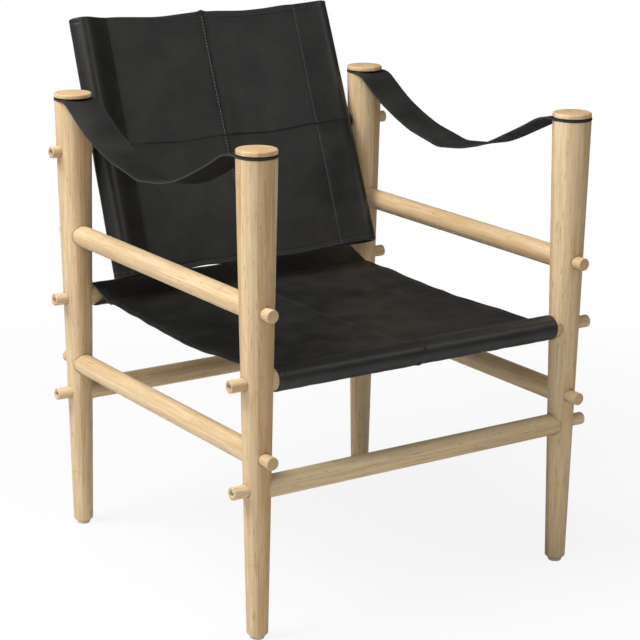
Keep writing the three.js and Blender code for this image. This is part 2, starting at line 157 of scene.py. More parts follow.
class Finish:
    """The node tree of a material or of the world, under construction."""

    def __init__(self, owner):
        owner.use_nodes = True
        self.owner = owner
        self.tree = owner.node_tree
        self.tree.nodes.clear()

    def node(self, kind, settings=None, inputs=None, output=0):
        made = self.tree.nodes.new(kind)
        for key, value in (settings or {}).items():
            setattr(made, key, value)
        for key, value in (inputs or {}).items():
            if isinstance(value, Wire):
                self.tree.links.new(value.socket, made.inputs[key])
            else:
                made.inputs[key].default_value = value
        return Wire(self, made.outputs[output]) if made.outputs else None

    def place(self, kind="Object"):
        return self.node("ShaderNodeTexCoord", output=kind)

    def stretch(self, spot, factors):
        return self.node("ShaderNodeVectorMath", {"operation": "MULTIPLY"}, {0: spot, 1: factors})

    def shift(self, spot, offset):
        return self.node("ShaderNodeVectorMath", {"operation": "ADD"}, {0: spot, 1: offset})

    def cloud(self, spot, scale, detail=2.0, roughness=0.5):
        inputs = {"Vector": spot, "Scale": scale, "Detail": detail, "Roughness": roughness}
        return self.node("ShaderNodeTexNoise", None, inputs)

    def blend(self, share, first, second):
        inputs = {0: share, 6: first, 7: second}
        return self.node("ShaderNodeMix", {"data_type": "RGBA"}, inputs, 2)

    def bump(self, height, strength, distance, under=None):
        inputs = {"Height": height, "Strength": strength, "Distance": distance}
        if under:
            inputs["Normal"] = under
        return self.node("ShaderNodeBump", None, inputs)

    def surface(self, **inputs):
        named = {key.replace("_", " "): value for key, value in inputs.items()}
        shader = self.node("ShaderNodeBsdfPrincipled", None, named)
        self.node("ShaderNodeOutputMaterial", None, {"Surface": shader})
        return self.owner


def new_finish(name):
    return Finish(bpy.data.materials.new(name))


print("shader classes are ready")

# %% [markdown]
# ## Studio
# The chair stands on a pale floor under soft light. A large softbox on the left gives the posts
# their bright side, another overhead lights the rails and the leather from above, and two weak
# ones in front show the leather's sheen and the front rails. A pale room, a little warmer on the
# right, fills the rest. The floor must look white without pouring more light on the chair, so the
# camera sees mostly a plain white glow there, mixed with the lit floor that carries the shadow.

# %% Set up the lights and the floor
AIM = Vector((0, 0, 0.42))
ROOM_LEFT = 0.14
ROOM_RIGHT = 0.14
ROOM_FRONT = 0.22
ROOM_REAR = 0.05
ROOM_TOP = 0.05
FLOOR_SIZE = 60
FLOOR_COLOUR = (0.82, 0.82, 0.82, 1)
FLOOR_GLOW = 0.88
SHADOW_REACH = 0.8
WHITE = (1, 1, 1, 1)
WARM_FILL = (1, 0.91, 0.79, 1)
WARM_START = -0.4
WARM_END = 0.6
SOFTBOXES = {
    "left_softbox": ((-2.05, 0.4, 2.9), 1.9, 112),
    "top_softbox": ((-0.5, -0.1, 2.8), 1.8, 22),
    "front_softbox": ((1.3, -1.7, 1.75), 1.0, 6),
    "corner_softbox": ((-1.7, -1.9, 2.0), 1.4, 12),
}


def softbox(name, spot, size, power):
    light = bpy.data.objects.new(name, bpy.data.lights.new(name, "AREA"))
    light.data.shape = "SQUARE"
    light.data.size = size
    light.data.energy = power
    toward = AIM - Vector(spot)
    light.matrix_world = Matrix.Translation(spot) @ toward.to_track_quat("-Z", "Y").to_matrix().to_4x4()
    bpy.context.scene.collection.objects.link(light)


def seen_rays(finish):
    """1 for the rays that should meet a plain white backdrop: the camera's, and those through glass."""
    camera = finish.node("ShaderNodeLightPath", output="Is Camera Ray")
    return camera.math("MAXIMUM", camera, camera.other("Is Transmission Ray"))


def floor_finish():
    finish = new_finish("studio_floor")
    lit = finish.node("ShaderNodeBsdfDiffuse", None, {"Color": FLOOR_COLOUR})
    glow = finish.node("ShaderNodeEmission", None, {"Color": WHITE, "Strength": 1.0})
    away = finish.node("ShaderNodeVectorMath", {"operation": "LENGTH"}, {0: finish.place()}, "Value")
    glow_share = FLOOR_GLOW + (1 - FLOOR_GLOW) * away.between(SHADOW_REACH, 2 * SHADOW_REACH)
    mixed = finish.node("ShaderNodeMixShader", None, {0: seen_rays(finish) * glow_share, 1: lit, 2: glow})
    finish.node("ShaderNodeOutputMaterial", None, {"Surface": mixed})
    return finish.owner


def make_floor():
    bm = bmesh.new()
    bmesh.ops.create_grid(bm, x_segments=1, y_segments=1, size=FLOOR_SIZE / 2)
    mesh = bpy.data.meshes.new("studio_floor")
    bm.to_mesh(mesh)
    bm.free()
    mesh.materials.append(floor_finish())
    floor = bpy.data.objects.new("studio_floor", mesh)
    bpy.context.scene.collection.objects.link(floor)


def lobe(ahead):
    """1 where a direction points straight ahead, fading to 0 at right angles to that."""
    positive = ahead.math("MAXIMUM", ahead, 0.0)
    return positive * positive


def light_room():
    room = Finish(bpy.data.worlds.new("white_room"))
    x = room.node("ShaderNodeSeparateXYZ", None, {"Vector": room.place("Generated")}, "X")
    y = x.other("Y")
    level = ROOM_TOP * lobe(x.other("Z"))
    level = level + ROOM_LEFT * lobe(0.0 - x) + ROOM_RIGHT * lobe(x)
    level = level + ROOM_FRONT * lobe(0.0 - y) + ROOM_REAR * lobe(y)
    seen = seen_rays(room)
    tint = room.blend((1.0 - seen) * x.between(WARM_START, WARM_END), WHITE, WARM_FILL)
    strength = level + (1.0 - level) * seen
    shell = room.node("ShaderNodeBackground", None, {"Color": tint, "Strength": strength})
    room.node("ShaderNodeOutputWorld", None, {"Surface": shell})
    bpy.context.scene.world = room.owner


bpy.context.scene.view_settings.view_transform = "Standard"
make_floor()
light_room()
for light_name, light_settings in SOFTBOXES.items():
    softbox(light_name, *light_settings)
print("lights", [light.name for light in bpy.data.lights])

# %% [markdown]
# ## Bamboo
# Bamboo boards are glued up from narrow strips, and the posts and rails are turned from such boards.
# So the tone changes from strip to strip, fine fibres run along each one, and every strip has its
# own faint joints. That is a solid pattern, like the real thing: we work it out from the place
# inside the block, and the turned surface cuts through it. Each piece says which way it grew, and
# the rails that sit in shade also get a paler tone, which is painted light.

# %% The bamboo finish
STRIP_THICKNESS = 22 * MM
STRIP_WIDTH = 30 * MM
STRIP_STAGGER = 0.37
STRIP_SHIFT = (132 * MM, 132 * MM, 0)
CROSS_SHIFT = (132 * MM, 0, 0)
JOINT_SPACING = 340 * MM
JOINT_HEIGHT = 1.6 * MM
JOINT_WOBBLE = 12 * MM
JOINT_SCATTER = 7.0
PALE_STRIP = (0.79, 0.627, 0.392, 1)
DARK_STRIP = (0.53, 0.33, 0.155, 1)
FIBRE_COLOUR = (0.36, 0.21, 0.09, 1)
JOINT_COLOUR = (0.40, 0.235, 0.10, 1)
END_GRAIN = (0.52, 0.325, 0.16, 1)


def streaks(finish, spot, across, along, detail=1.0, roughness=0.5):
    """A cloud drawn out along the fibres, with so many spots a metre across and along them."""
    return finish.cloud(finish.stretch(spot, (across, across, along)), 1.0, detail, roughness)


def bamboo(name, turn, paler=0.0, shift=STRIP_SHIFT):
    """Bamboo whose fibres run along what the turn, in radians about X, Y and Z, makes upright. A paler
    share lightens the whole tone: painted light for rails that sit in shade.
    """
    finish = new_finish(name)
    moves = {"Vector": finish.place(), "Rotation": turn, "Location": shift}
    spot = finish.node("ShaderNodeMapping", None, moves)
    x = finish.node("ShaderNodeSeparateXYZ", None, {"Vector": spot}, "X")
    layer = (x / STRIP_THICKNESS).floor()
    row = (x.other("Y") / STRIP_WIDTH + layer * STRIP_STAGGER).floor()
    strip = finish.node("ShaderNodeCombineXYZ", None, {"X": layer, "Y": row})
    luck = finish.node("ShaderNodeTexWhiteNoise", {"noise_dimensions": "3D"}, {"Vector": strip})
    own_spot = finish.shift(spot, luck.other("Color"))
    fibre = streaks(finish, own_spot, 620, 9, 3.0, 0.6)
    streak = streaks(finish, own_spot, 230, 11, 3.0, 0.6)
    fleck = streaks(finish, own_spot, 380, 42)
    dash = streaks(finish, own_spot, 1300, 60)
    patch = streaks(finish, own_spot, 55, 5, 2.0)
    wobble = finish.cloud(own_spot, 260.0, 2.0) * JOINT_WOBBLE
    height = (x.other("Z") + wobble) / JOINT_SPACING + luck * JOINT_SCATTER
    off_joint = ((height.fraction() - 0.5) * JOINT_SPACING).size()
    joint = 1.0 - off_joint.between(0.25 * JOINT_HEIGHT, JOINT_HEIGHT)
    halo = 1.0 - off_joint.between(0.0, 6 * JOINT_HEIGHT)
    glue = ((x / STRIP_THICKNESS).fraction() - 0.5).size().between(0.46, 0.5)
    tone = luck * 0.62 + patch.between(0.3, 0.7) * 0.22 + streak.between(0.35, 0.68) * 0.34 - paler
    colour = finish.blend(tone, PALE_STRIP, DARK_STRIP)
    marks = [fibre.between(0.5, 0.72) * 0.30, dash.between(0.64, 0.74) * 0.40]
    marks += [fleck.between(0.66, 0.74) * 0.55, glue * 0.22, halo * dash.between(0.45, 0.7) * 0.25]
    for mark in marks:
        colour = finish.blend(mark, colour, FIBRE_COLOUR)
    colour = finish.blend(joint * patch.between(0.4, 0.65) * 0.32, colour, JOINT_COLOUR)
    facing = finish.node("ShaderNodeMapping", None, {"Vector": finish.place("Normal"), "Rotation": turn})
    upward = finish.node("ShaderNodeSeparateXYZ", None, {"Vector": facing}, "Z")
    end = upward.size().between(0.75, 0.95)
    colour = finish.blend(end * (0.42 + dash * 0.25), colour, END_GRAIN)
    roughness = 0.42 + fibre * 0.16 + end * 0.14
    relief = finish.bump(fibre + dash * 0.5 + joint * 0.6, 0.22, 0.25 * MM)
    return finish.surface(Base_Color=colour, Roughness=roughness, Normal=relief)


QUARTER = math.pi / 2
BACK_TILT = math.radians(21)
STRIP_SLANT = math.radians(33)
UPRIGHT_BAMBOO = bamboo("bamboo_upright", (0, 0, STRIP_SLANT))
# The cross and side rails get a paler tone: painted light that lifts them where they sit in shade.
CROSS_BAMBOO = bamboo("bamboo_cross", (0, -QUARTER, STRIP_SLANT), 0.2, CROSS_SHIFT)
SIDE_BAMBOO = bamboo("bamboo_side", (QUARTER, 0, STRIP_SLANT), 0.16)
POLE_BAMBOO = bamboo("bamboo_pole", (BACK_TILT, 0, STRIP_SLANT))
print("bamboo nodes", len(UPRIGHT_BAMBOO.node_tree.nodes))

# %% [markdown]
# ## Leather, thread, metal and plastic
# The leather is black, finished with a soft sheen. Close up it has a pebbled grain with fine creases,
# its tone is a little uneven, and it is rubbed smoother where it bends over a bar and along its edges.
# There it is also painted a lighter grey, partly as wear and partly as a painted highlight; the sheets
# carry a value on their points for that. Where leather was cut, its core shows grey, and the straps'
# underside is left raw. Thread, metal and plastic are plainer: one fine cloud does for each.

# %% The other finishes
LEATHER_BLACK = (0.0080, 0.0079, 0.0075, 1)
LEATHER_GREY = (0.0216, 0.0214, 0.0205, 1)
LEATHER_WORN_SHEEN = (0.034, 0.0326, 0.0316, 1)
LEATHER_SHEEN = 0.38
RAW_SHEEN = 0.15
GRAIN_SCALE = 620.0
GRAIN_BEND = (0.0012, 0.0012, 0.0012)


def leather(name, roughness, grain_depth):
    finish = new_finish(name)
    spot = finish.place()
    wear_and_sheen = finish.node("ShaderNodeAttribute", {"attribute_name": "wear_and_sheen"}, None, "Fac")
    mottle = finish.cloud(spot, 16.0, 4.0, 0.6)
    fine = finish.cloud(spot, 150.0, 5.0, 0.7)
    crease = finish.cloud(spot, 110.0, 5.0, 0.66)
    bent = finish.shift(spot, finish.stretch(finish.cloud(spot, 300.0).other("Color"), GRAIN_BEND))
    cells = {"Vector": bent, "Scale": GRAIN_SCALE}
    pebble = finish.node("ShaderNodeTexVoronoi", {"feature": "DISTANCE_TO_EDGE"}, cells)
    grain = pebble.between(0.0, 0.16)
    uneven = mottle.between(0.35, 0.7) * 0.8 + fine.between(0.35, 0.7) * 0.2
    colour = finish.blend(uneven, LEATHER_BLACK, LEATHER_GREY)
    # A lighter grey where the leather bends over a bar and along its edges: partly wear, partly a painted
    # highlight.
    colour = finish.blend(wear_and_sheen * 0.6, colour, LEATHER_WORN_SHEEN)
    relief = finish.bump(grain, grain_depth, 0.25 * MM)
    wrinkled = finish.bump(crease, 0.14, 1.6 * MM, relief)
    gloss = roughness + mottle * 0.10 - grain * 0.04 - wear_and_sheen * 0.11
    inputs = {"Base_Color": colour, "Roughness": gloss, "Normal": wrinkled}
    return finish.surface(Specular_IOR_Level=LEATHER_SHEEN, **inputs)


def speckled(name, dark, light, cloud, gloss, relief=None, **constants):
    """A finish whose tone, roughness and height all follow one fine cloud."""
    finish = new_finish(name)
    speck = finish.cloud(finish.place(), *cloud)
    inputs = {"Base_Color": finish.blend(speck, dark, light), "Roughness": gloss[0] + speck * gloss[1]}
    if relief:
        inputs["Normal"] = finish.bump(speck, *relief)
    return finish.surface(**inputs, **constants)


def raw_leather(name, dark, light):
    fuzz = {"cloud": (900.0, 3.0), "gloss": (0.7, 0.2), "relief": (0.4, 0.3 * MM)}
    return speckled(name, dark, light, Specular_IOR_Level=RAW_SHEEN, **fuzz)


def waxed_thread(name, dark, light):
    return speckled(name, dark, light, cloud=(1600.0, 1.0), gloss=(0.5, 0.2))


def plated_steel():
    smear = {"cloud": (400.0, 4.0, 0.65), "gloss": (0.26, 0.22), "relief": (0.1, 0.1 * MM)}
    return speckled("plated_steel", (0.55, 0.55, 0.54, 1), (0.74, 0.74, 0.73, 1), Metallic=1.0, **smear)


def plain_brass():
    smear = {"cloud": (300.0, 4.0, 0.65), "gloss": (0.25, 0.25)}
    return speckled("plain_brass", (0.56, 0.40, 0.17, 1), (0.74, 0.56, 0.27, 1), Metallic=1.0, **smear)


def moulded_plastic(name, dark, light):
    return speckled(name, dark, light, cloud=(700.0, 3.0), gloss=(0.5, 0.2), relief=(0.15, 0.2 * MM))


SLING_LEATHER = leather("black_leather", 0.39, 0.15)
STRAP_LEATHER = leather("black_strap_leather", 0.50, 0.12)
CUT_EDGE = raw_leather("leather_cut_edge", (0.030, 0.027, 0.025, 1), (0.058, 0.053, 0.049, 1))
FLESH_SIDE = raw_leather("leather_flesh_side", (0.009, 0.0087, 0.0085, 1), (0.017, 0.0164, 0.016, 1))
THREAD = waxed_thread("black_thread", (0.045, 0.044, 0.043, 1), (0.105, 0.103, 0.100, 1))
PALE_THREAD = waxed_thread("grey_thread", (0.16, 0.156, 0.15, 1), (0.34, 0.33, 0.32, 1))
STEEL = plated_steel()
BRASS = plain_brass()
GLIDE_PLASTIC = moulded_plastic("glide_plastic", (0.60, 0.59, 0.57, 1), (0.74, 0.73, 0.71, 1))
SPACER_PLASTIC = moulded_plastic("spacer_plastic", (0.012, 0.012, 0.012, 1), (0.03, 0.03, 0.03, 1))
print("finishes", [material.name for material in bpy.data.materials if material.users])

# %% [markdown]
# ## A lathe
# Posts, rails, pegs, bolts and glides are all turned, so one helper makes them all. An outline is
# drawn beside the axis as a few points, sharp corners that a maker would break are rounded with a
# vertex bevel, and a full spin sweeps it round. A modelled primitive would leave the edges hard, and
# it is the small roundings that catch the light and tell wood from plastic.

# %% Turn an outline
ROUNDING_STEPS = 4
MERGE_DISTANCE = 0.002 * MM
SHARP_ANGLE = math.radians(38)
POST_SIDES = 96
RAIL_SIDES = 64


def turn_outline(outline, place, sides=RAIL_SIDES):
    """Spins an outline about Z. Its points are a radius, a place along the axis and any rounding."""
    bm = bmesh.new()
    corners = [bm.verts.new((radius, 0, along)) for radius, along, *rounding in outline]
    for corner, following in zip(corners, corners[1:]):
        bm.edges.new((corner, following))
    for corner, (radius, along, *rounding) in zip(corners, outline):
        for offset in rounding:
            bmesh.ops.bevel(
                bm,
                geom=[corner],
                offset=offset,
                offset_type="OFFSET",
                segments=ROUNDING_STEPS,
                profile=0.5,
                affect="VERTICES",
                material=-1,
            )
    outline_parts = bm.verts[:] + bm.edges[:]
    full = {"angle": 2 * math.pi, "steps": sides, "use_merge": True}
    bmesh.ops.spin(bm, geom=outline_parts, cent=(0, 0, 0), axis=(0, 0, 1), **full)
    bmesh.ops.remove_doubles(bm, verts=bm.verts, dist=MERGE_DISTANCE)
    bmesh.ops.recalc_face_normals(bm, faces=bm.faces)
    bmesh.ops.transform(bm, matrix=place, verts=bm.verts)
    return bm


def lay(spot, direction):
    """The move that takes the Z axis of a turned piece to a line from the spot in this direction."""
    turn = Vector(direction).to_track_quat("Z", "Y")
    return Matrix.Translation(spot) @ turn.to_matrix().to_4x4()


def shade(mesh):
    mesh.shade_smooth()
    mesh.set_sharp_from_angle(angle=SHARP_ANGLE)


def make_piece(name, bm, *materials):
    mesh = bpy.data.meshes.new(name)
    bm.to_mesh(mesh)
    bm.free()
    for material in materials:
        mesh.materials.append(material)
    shade(mesh)
    piece = bpy.data.objects.new(name, mesh)
    bpy.context.scene.collection.objects.link(piece)
    return piece


def settle(piece, node):
    """The piece stands for a node of the frame and moves as that node does."""
    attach(piece, frame["nodes"][node]["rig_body"])
    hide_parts(node)
    return piece


def middle(node):
    low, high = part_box(node)
    return (low + high) / 2


print("front left post stands at", middle("front_left_post"))

# %% [markdown]
# ## A drill
# Rails sit in blind sockets and their tenons come out through the far side of the post. A real
# drill would cut those holes after turning, and we do the same with a Boolean modifier, applied at
# once so that the drill itself can be thrown away. The holes are a hair wider than what goes in,
# and that gap gives the fine dark line that is seen round every joint.

# %% Drill holes


def add_to(bm, shape):
    """Moves one shape into another."""
    mesh = bpy.data.meshes.new("shape")
    shape.to_mesh(mesh)
    shape.free()
    bm.from_mesh(mesh)
    bpy.data.meshes.remove(mesh)


def drill(piece, cutters):
    """Cuts these turned shapes out of a piece."""
    bits = bmesh.new()
    for cutter in cutters:
        add_to(bits, cutter)
    tool = make_piece(piece.name + "_drill", bits)
    hole = piece.modifiers.new("hole", "BOOLEAN")
    hole.operation = "DIFFERENCE"
    hole.solver = "EXACT"
    hole.object = tool
    solid = piece.data
    drilled = piece.evaluated_get(bpy.context.evaluated_depsgraph_get())
    piece.data = bpy.data.meshes.new_from_object(drilled)
    piece.modifiers.clear()
    bpy.data.objects.remove(tool)
    bpy.data.meshes.remove(solid)
    piece.data.name = piece.name
    shade(piece.data)


def bore(radius, start, end, place):
    """A plain round hole along the place's own Z."""
    return turn_outline([(0, start), (radius, start), (radius, end), (0, end)], place)


def turned(node, outline, place, material, holes=(), sides=RAIL_SIDES, made="turned"):
    """A turned or moulded piece that stands for a node of the frame, with these holes drilled in it."""
    piece = make_piece(f"{node}_{made}", turn_outline(outline, place, sides), material)
    if holes:
        drill(piece, holes)
    return settle(piece, node)


def upright(node):
    """The move that stands a turned piece on the floor where this node is."""
    spot = middle(node)
    return Matrix.Translation((spot.x, spot.y, 0))


print("drill is ready")

# %% [markdown]
# ## Posts
# Each post tapers from a broad head to a slim foot with a chamfer. It has a blind hole for the
# cap's dowel and one for the glide's pin, which we draw into the outline. The rail holes come from
# the drill: two from the side rails, two from the cross rails, and one for the back's pivot.

# %% Turn and drill the posts
POST_HEIGHT = 690 * MM
POST_HEAD_RADIUS = 28.5 * MM
POST_FOOT_RADIUS = 15 * MM
FOOT_CHAMFER = 4 * MM
HEAD_EDGE = 1.2 * MM
FOOT_EDGE = 0.8 * MM
DOWEL_RADIUS = 12 * MM
DOWEL_LENGTH = 30 * MM
PIN_RADIUS = 2 * MM
PIN_LENGTH = 12 * MM
GLIDE_HEIGHT = 4 * MM
RAIL_RADIUS = 16 * MM
TENON_RADIUS = 9.25 * MM
SOCKET_DEPTH = 9 * MM
FIT = 0.3 * MM
HAIRLINE = 0.8 * MM
PAST_POST = 60 * MM
SIDES = {"left": -1, "right": 1}
ROWS = {"front": -1, "rear": 1}
SIDE_RAILS = ("arm_rail", "lower_rail")
CROSS_RAILS = {
    "front": ("seat_front_rail", "front_stretcher"),
    "rear": ("seat_rear_rail", "rear_stretcher"),
}
PIVOT = Vector(frame["joints"][0]["pos_m"])


def post_radius(height):
    return POST_FOOT_RADIUS + (POST_HEAD_RADIUS - POST_FOOT_RADIUS) * height / POST_HEIGHT


def socket_floor(height):
    """From a post's axis to the floor of a rail's socket."""
    return post_radius(height) - SOCKET_DEPTH


def rail_hole(post, height, outward):
    floor = -socket_floor(height)
    socket = RAIL_RADIUS + HAIRLINE
    through = TENON_RADIUS + HAIRLINE
    outline = [(0, -PAST_POST), (socket, -PAST_POST), (socket, floor)]
    outline += [(through, floor), (through, PAST_POST), (0, PAST_POST)]
    return turn_outline(outline, lay((post.x, post.y, height), outward))


def make_post(row, side):
    node = f"{row}_{side}_post"
    post = middle(node)
    foot, head = (corner.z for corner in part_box(node))
    pin_top = GLIDE_HEIGHT + PIN_LENGTH + FIT
    dowel_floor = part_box(f"{row}_{side}_cap")[0].z - FIT
    outline = [
        (0, pin_top),
        (PIN_RADIUS + FIT, pin_top),
        (PIN_RADIUS + FIT, foot),
        (post_radius(foot) - FOOT_CHAMFER, foot, FOOT_EDGE),
        (post_radius(foot + FOOT_CHAMFER), foot + FOOT_CHAMFER, FOOT_EDGE),
        (post_radius(head), head, HEAD_EDGE),
        (DOWEL_RADIUS + FIT, head),
        (DOWEL_RADIUS + FIT, dowel_floor),
        (0, dowel_floor),
    ]
    holes = [rail_hole(post, middle(f"{side}_{rail}").z, (0, ROWS[row], 0)) for rail in SIDE_RAILS]
    holes += [rail_hole(post, middle(rail).z, (SIDES[side], 0, 0)) for rail in CROSS_RAILS[row]]
    if row == "rear":
        pivot = lay((post.x, post.y, PIVOT.z), (1, 0, 0))
        holes.append(bore(TENON_RADIUS + HAIRLINE, -PAST_POST, PAST_POST, pivot))
    return turned(node, outline, upright(node), UPRIGHT_BAMBOO, holes, POST_SIDES)


for row_name in ROWS:
    for side_name in SIDES:
        made = make_post(row_name, side_name)
        print(made.name, len(made.data.polygons), "faces")

# %% [markdown]
# ## Caps and glides
# A cap is a thin disc with a rounded rim. Its dowel goes through the end of the arm strap into the
# post, so the cap clamps the strap. The glide under each foot is a small moulded disc on a pin.

# %% Turn the caps and glides
CAP_RADIUS = 28.25 * MM
CAP_HEIGHT = 6.5 * MM
CAP_EDGE = 2.2 * MM
CAP_UNDER_EDGE = 0.7 * MM
DOWEL_EDGE = 1.5 * MM
GLIDE_RADIUS = 10 * MM
GLIDE_EDGE = 1.2 * MM


def make_cap(node):
    under = POST_HEIGHT - CAP_HEIGHT
    outline = [
        (0, under - DOWEL_LENGTH),
        (DOWEL_RADIUS, under - DOWEL_LENGTH, DOWEL_EDGE),
        (DOWEL_RADIUS, under),
        (CAP_RADIUS, under, CAP_UNDER_EDGE),
        (CAP_RADIUS, POST_HEIGHT, CAP_EDGE),
        (0, POST_HEIGHT),
    ]
    return turned(node, outline, upright(node), UPRIGHT_BAMBOO, sides=POST_SIDES)


def make_glide(node):
    outline = [
        (0, 0),
        (GLIDE_RADIUS, 0, GLIDE_EDGE),
        (GLIDE_RADIUS, GLIDE_HEIGHT, GLIDE_EDGE / 2),
        (PIN_RADIUS, GLIDE_HEIGHT),
        (PIN_RADIUS, GLIDE_HEIGHT + PIN_LENGTH, PIN_RADIUS / 2),
        (0, GLIDE_HEIGHT + PIN_LENGTH),
    ]
    return turned(node, outline, upright(node), GLIDE_PLASTIC, made="moulded")


for row_name in ROWS:
    for side_name in SIDES:
        made = make_cap(f"{row_name}_{side_name}_cap")
        print(made.name, make_glide(f"{row_name}_{side_name}_glide").name)

# %% [markdown]
# ## Rails
# The side rails run from front to back, with a shoulder let into each post and a tenon that comes
# out on the far side. The cross rails are plain bars whose ends hold a threaded insert. Both are
# mirrored end for end, so we write the outline of one half and reflect it.

# %% Turn the rails
SHOULDER_EDGE = 0.3 * MM
TENON_EDGE = 1.1 * MM
INSERT_RADIUS = 5.5 * MM
INSERT_ROOM = 23 * MM


def mirrored(half):
    """The outline of a piece that is the same at both ends, from the outline of its far half."""
    return [(radius, -along, *rounding) for radius, along, *rounding in reversed(half)] + half


def make_side_rail(node):
    spot = middle(node)
    low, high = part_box(node)
    end = (high.y - low.y) / 2
    half_spacing = (middle("rear_left_post").y - middle("front_left_post").y) / 2
    shoulder = half_spacing - socket_floor(spot.z) - FIT
    half = [
        (RAIL_RADIUS, shoulder, SHOULDER_EDGE),
        (TENON_RADIUS, shoulder),
        (TENON_RADIUS, end, TENON_EDGE),
        (0, end),
    ]
    return turned(node, mirrored(half), lay(spot, (0, 1, 0)), SIDE_BAMBOO)


def make_cross_rail(node):
    low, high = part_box(node)
    end = (high.x - low.x) / 2
    half = [
        (RAIL_RADIUS, end, SHOULDER_EDGE),
        (INSERT_RADIUS + FIT, end),
        (INSERT_RADIUS + FIT, end - INSERT_ROOM),
        (0, end - INSERT_ROOM),
    ]
    return turned(node, mirrored(half), lay(middle(node), (1, 0, 0)), CROSS_BAMBOO)


for side_name in SIDES:
    for rail_name in SIDE_RAILS:
        print(make_side_rail(f"{side_name}_{rail_name}").name)
for rail_names in CROSS_RAILS.values():
    for rail_name in rail_names:
        print(make_cross_rail(rail_name).name)

# %% [markdown]
# ## Pegs and bolts
# A wooden peg in line with each cross rail hides the bolt that pulls the rail into its post. Its
# end is counterbored, so one sees a ring of wood with a steel head sunk in it and a six-sided key
# hole. The two pegs of the back are the same, but those bolts are the pivots the back turns on.

# %% Turn the pegs and bolts
BOLT_RADIUS = 3 * MM
BOLT_HEAD_RADIUS = 5 * MM
BOLT_HEAD_HEIGHT = 6 * MM
BOLT_SINK = 2 * MM
BOLT_EDGE = 0.7 * MM
KEY_WIDTH = 5 * MM
KEY_DEPTH = 3.5 * MM
KEY_SIDES = 6
COUNTERBORE_EDGE = 0.4 * MM


def outward_span(node, side):
    """The nearest and farthest distance of a node from the axis of its post, along its peg."""
    post_x = middle(f"rear_{side}_post").x * SIDES[side]
    return sorted(corner.x * SIDES[side] - post_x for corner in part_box(node))


def peg_place(node, side):
    spot = middle(node)
    return lay((middle(f"rear_{side}_post").x, spot.y, spot.z), (SIDES[side], 0, 0))


def make_peg(name, side):
    node = f"{name}_{side}_peg"
    inner, reach = outward_span(node, side)
    seat = reach - BOLT_SINK - BOLT_HEAD_HEIGHT - FIT
    outline = [
        (BOLT_RADIUS + FIT, inner),
        (TENON_RADIUS, inner),
        (TENON_RADIUS, reach, TENON_EDGE),
        (BOLT_HEAD_RADIUS + FIT, reach, COUNTERBORE_EDGE),
        (BOLT_HEAD_RADIUS + FIT, seat),
        (BOLT_RADIUS + FIT, seat),
        (BOLT_RADIUS + FIT, inner),
    ]
    return turned(node, outline, peg_place(node, side), CROSS_BAMBOO)


def key_hole(place):
    bm = bmesh.new()
    radius = KEY_WIDTH / 2 / math.cos(math.pi / KEY_SIDES)
    prism = {"cap_ends": True, "segments": KEY_SIDES, "radius1": radius, "radius2": radius}
    bmesh.ops.create_cone(bm, depth=2 * KEY_DEPTH, matrix=place, **prism)
    return bm


def make_bolt(name, side):
    node = f"{name}_{side}_bolt"
    tip, top = outward_span(node, side)
    under = top - BOLT_HEAD_HEIGHT
    outline = [
        (0, tip),
        (BOLT_RADIUS, tip, BOLT_EDGE),
        (BOLT_RADIUS, under),
        (BOLT_HEAD_RADIUS, under),
        (BOLT_HEAD_RADIUS, top, BOLT_EDGE),
        (0, top),
    ]
    place = peg_place(node, side)
    keys = [key_hole(place @ Matrix.Translation((0, 0, top)))]
    return turned(node, outline, place, STEEL, keys)


JOINTS = [rail for rails in CROSS_RAILS.values() for rail in rails] + ["back"]
for joint_name in JOINTS:
    for side_name in SIDES:
        print(make_peg(joint_name, side_name).name, make_bolt(joint_name, side_name).name)
        frame["nodes"][f"{joint_name}_{side_name}_insert"].material_slots[0].material = BRASS

# %% [markdown]
# ## Poles and spacers of the back
# Two loose poles stretch the back's leather. They lean with it, and each is drilled for the insert
# that its pivot bolt screws into. Nothing but leather joins them, so one leans a little more than
# the other, as it does in the picture. A thin plastic spacer keeps the leather off the post.

# %% Turn the poles and spacers
POLE_EDGE = 3 * MM
POLE_INSET = 5 * MM
BACK_HEIGHT = 403 * MM
BACK_DROP = 2.5 * MM
BACK_TWIST = math.radians(1.6)
SPACER_RADIUS = 8 * MM
SPACER_EDGE = 0.5 * MM
DROP = Matrix.Translation((0, 0, -BACK_DROP))


def back_place(lean):
    """The move from the pivot's own axes to the chair's for a part of the back that leans so far."""
    return Matrix.Translation(PIVOT) @ Matrix.Rotation(-lean, 4, "X")


def make_pole(side):
    node = f"back_{side}_pole"
    end = BACK_HEIGHT / 2 - POLE_INSET
    half = [(RAIL_RADIUS, end, POLE_EDGE), (0, end)]
    lean = back_place(BACK_TILT + BACK_TWIST * SIDES[side])
    place = lean @ Matrix.Translation((middle(node).x, 0, 0))
    outward = place @ lay((0, 0, 0), (SIDES[side], 0, 0))
    hole = bore(INSERT_RADIUS + FIT, RAIL_RADIUS - INSERT_ROOM, RAIL_RADIUS * 2, outward)
    return turned(node, mirrored(half), place @ DROP, POLE_BAMBOO, [hole])


def make_spacer(side):
    node = f"back_{side}_spacer"
    inner, outer = outward_span(node, side)
    outline = [
        (BOLT_RADIUS + FIT, inner),
        (SPACER_RADIUS, inner, SPACER_EDGE),
        (SPACER_RADIUS, outer, SPACER_EDGE),
        (BOLT_RADIUS + FIT, outer),
        (BOLT_RADIUS + FIT, inner),
    ]
    return turned(node, outline, peg_place(node, side), SPACER_PLASTIC, made="moulded")


for side_name in SIDES:
    print(make_pole(side_name).name, make_spacer(side_name).name)

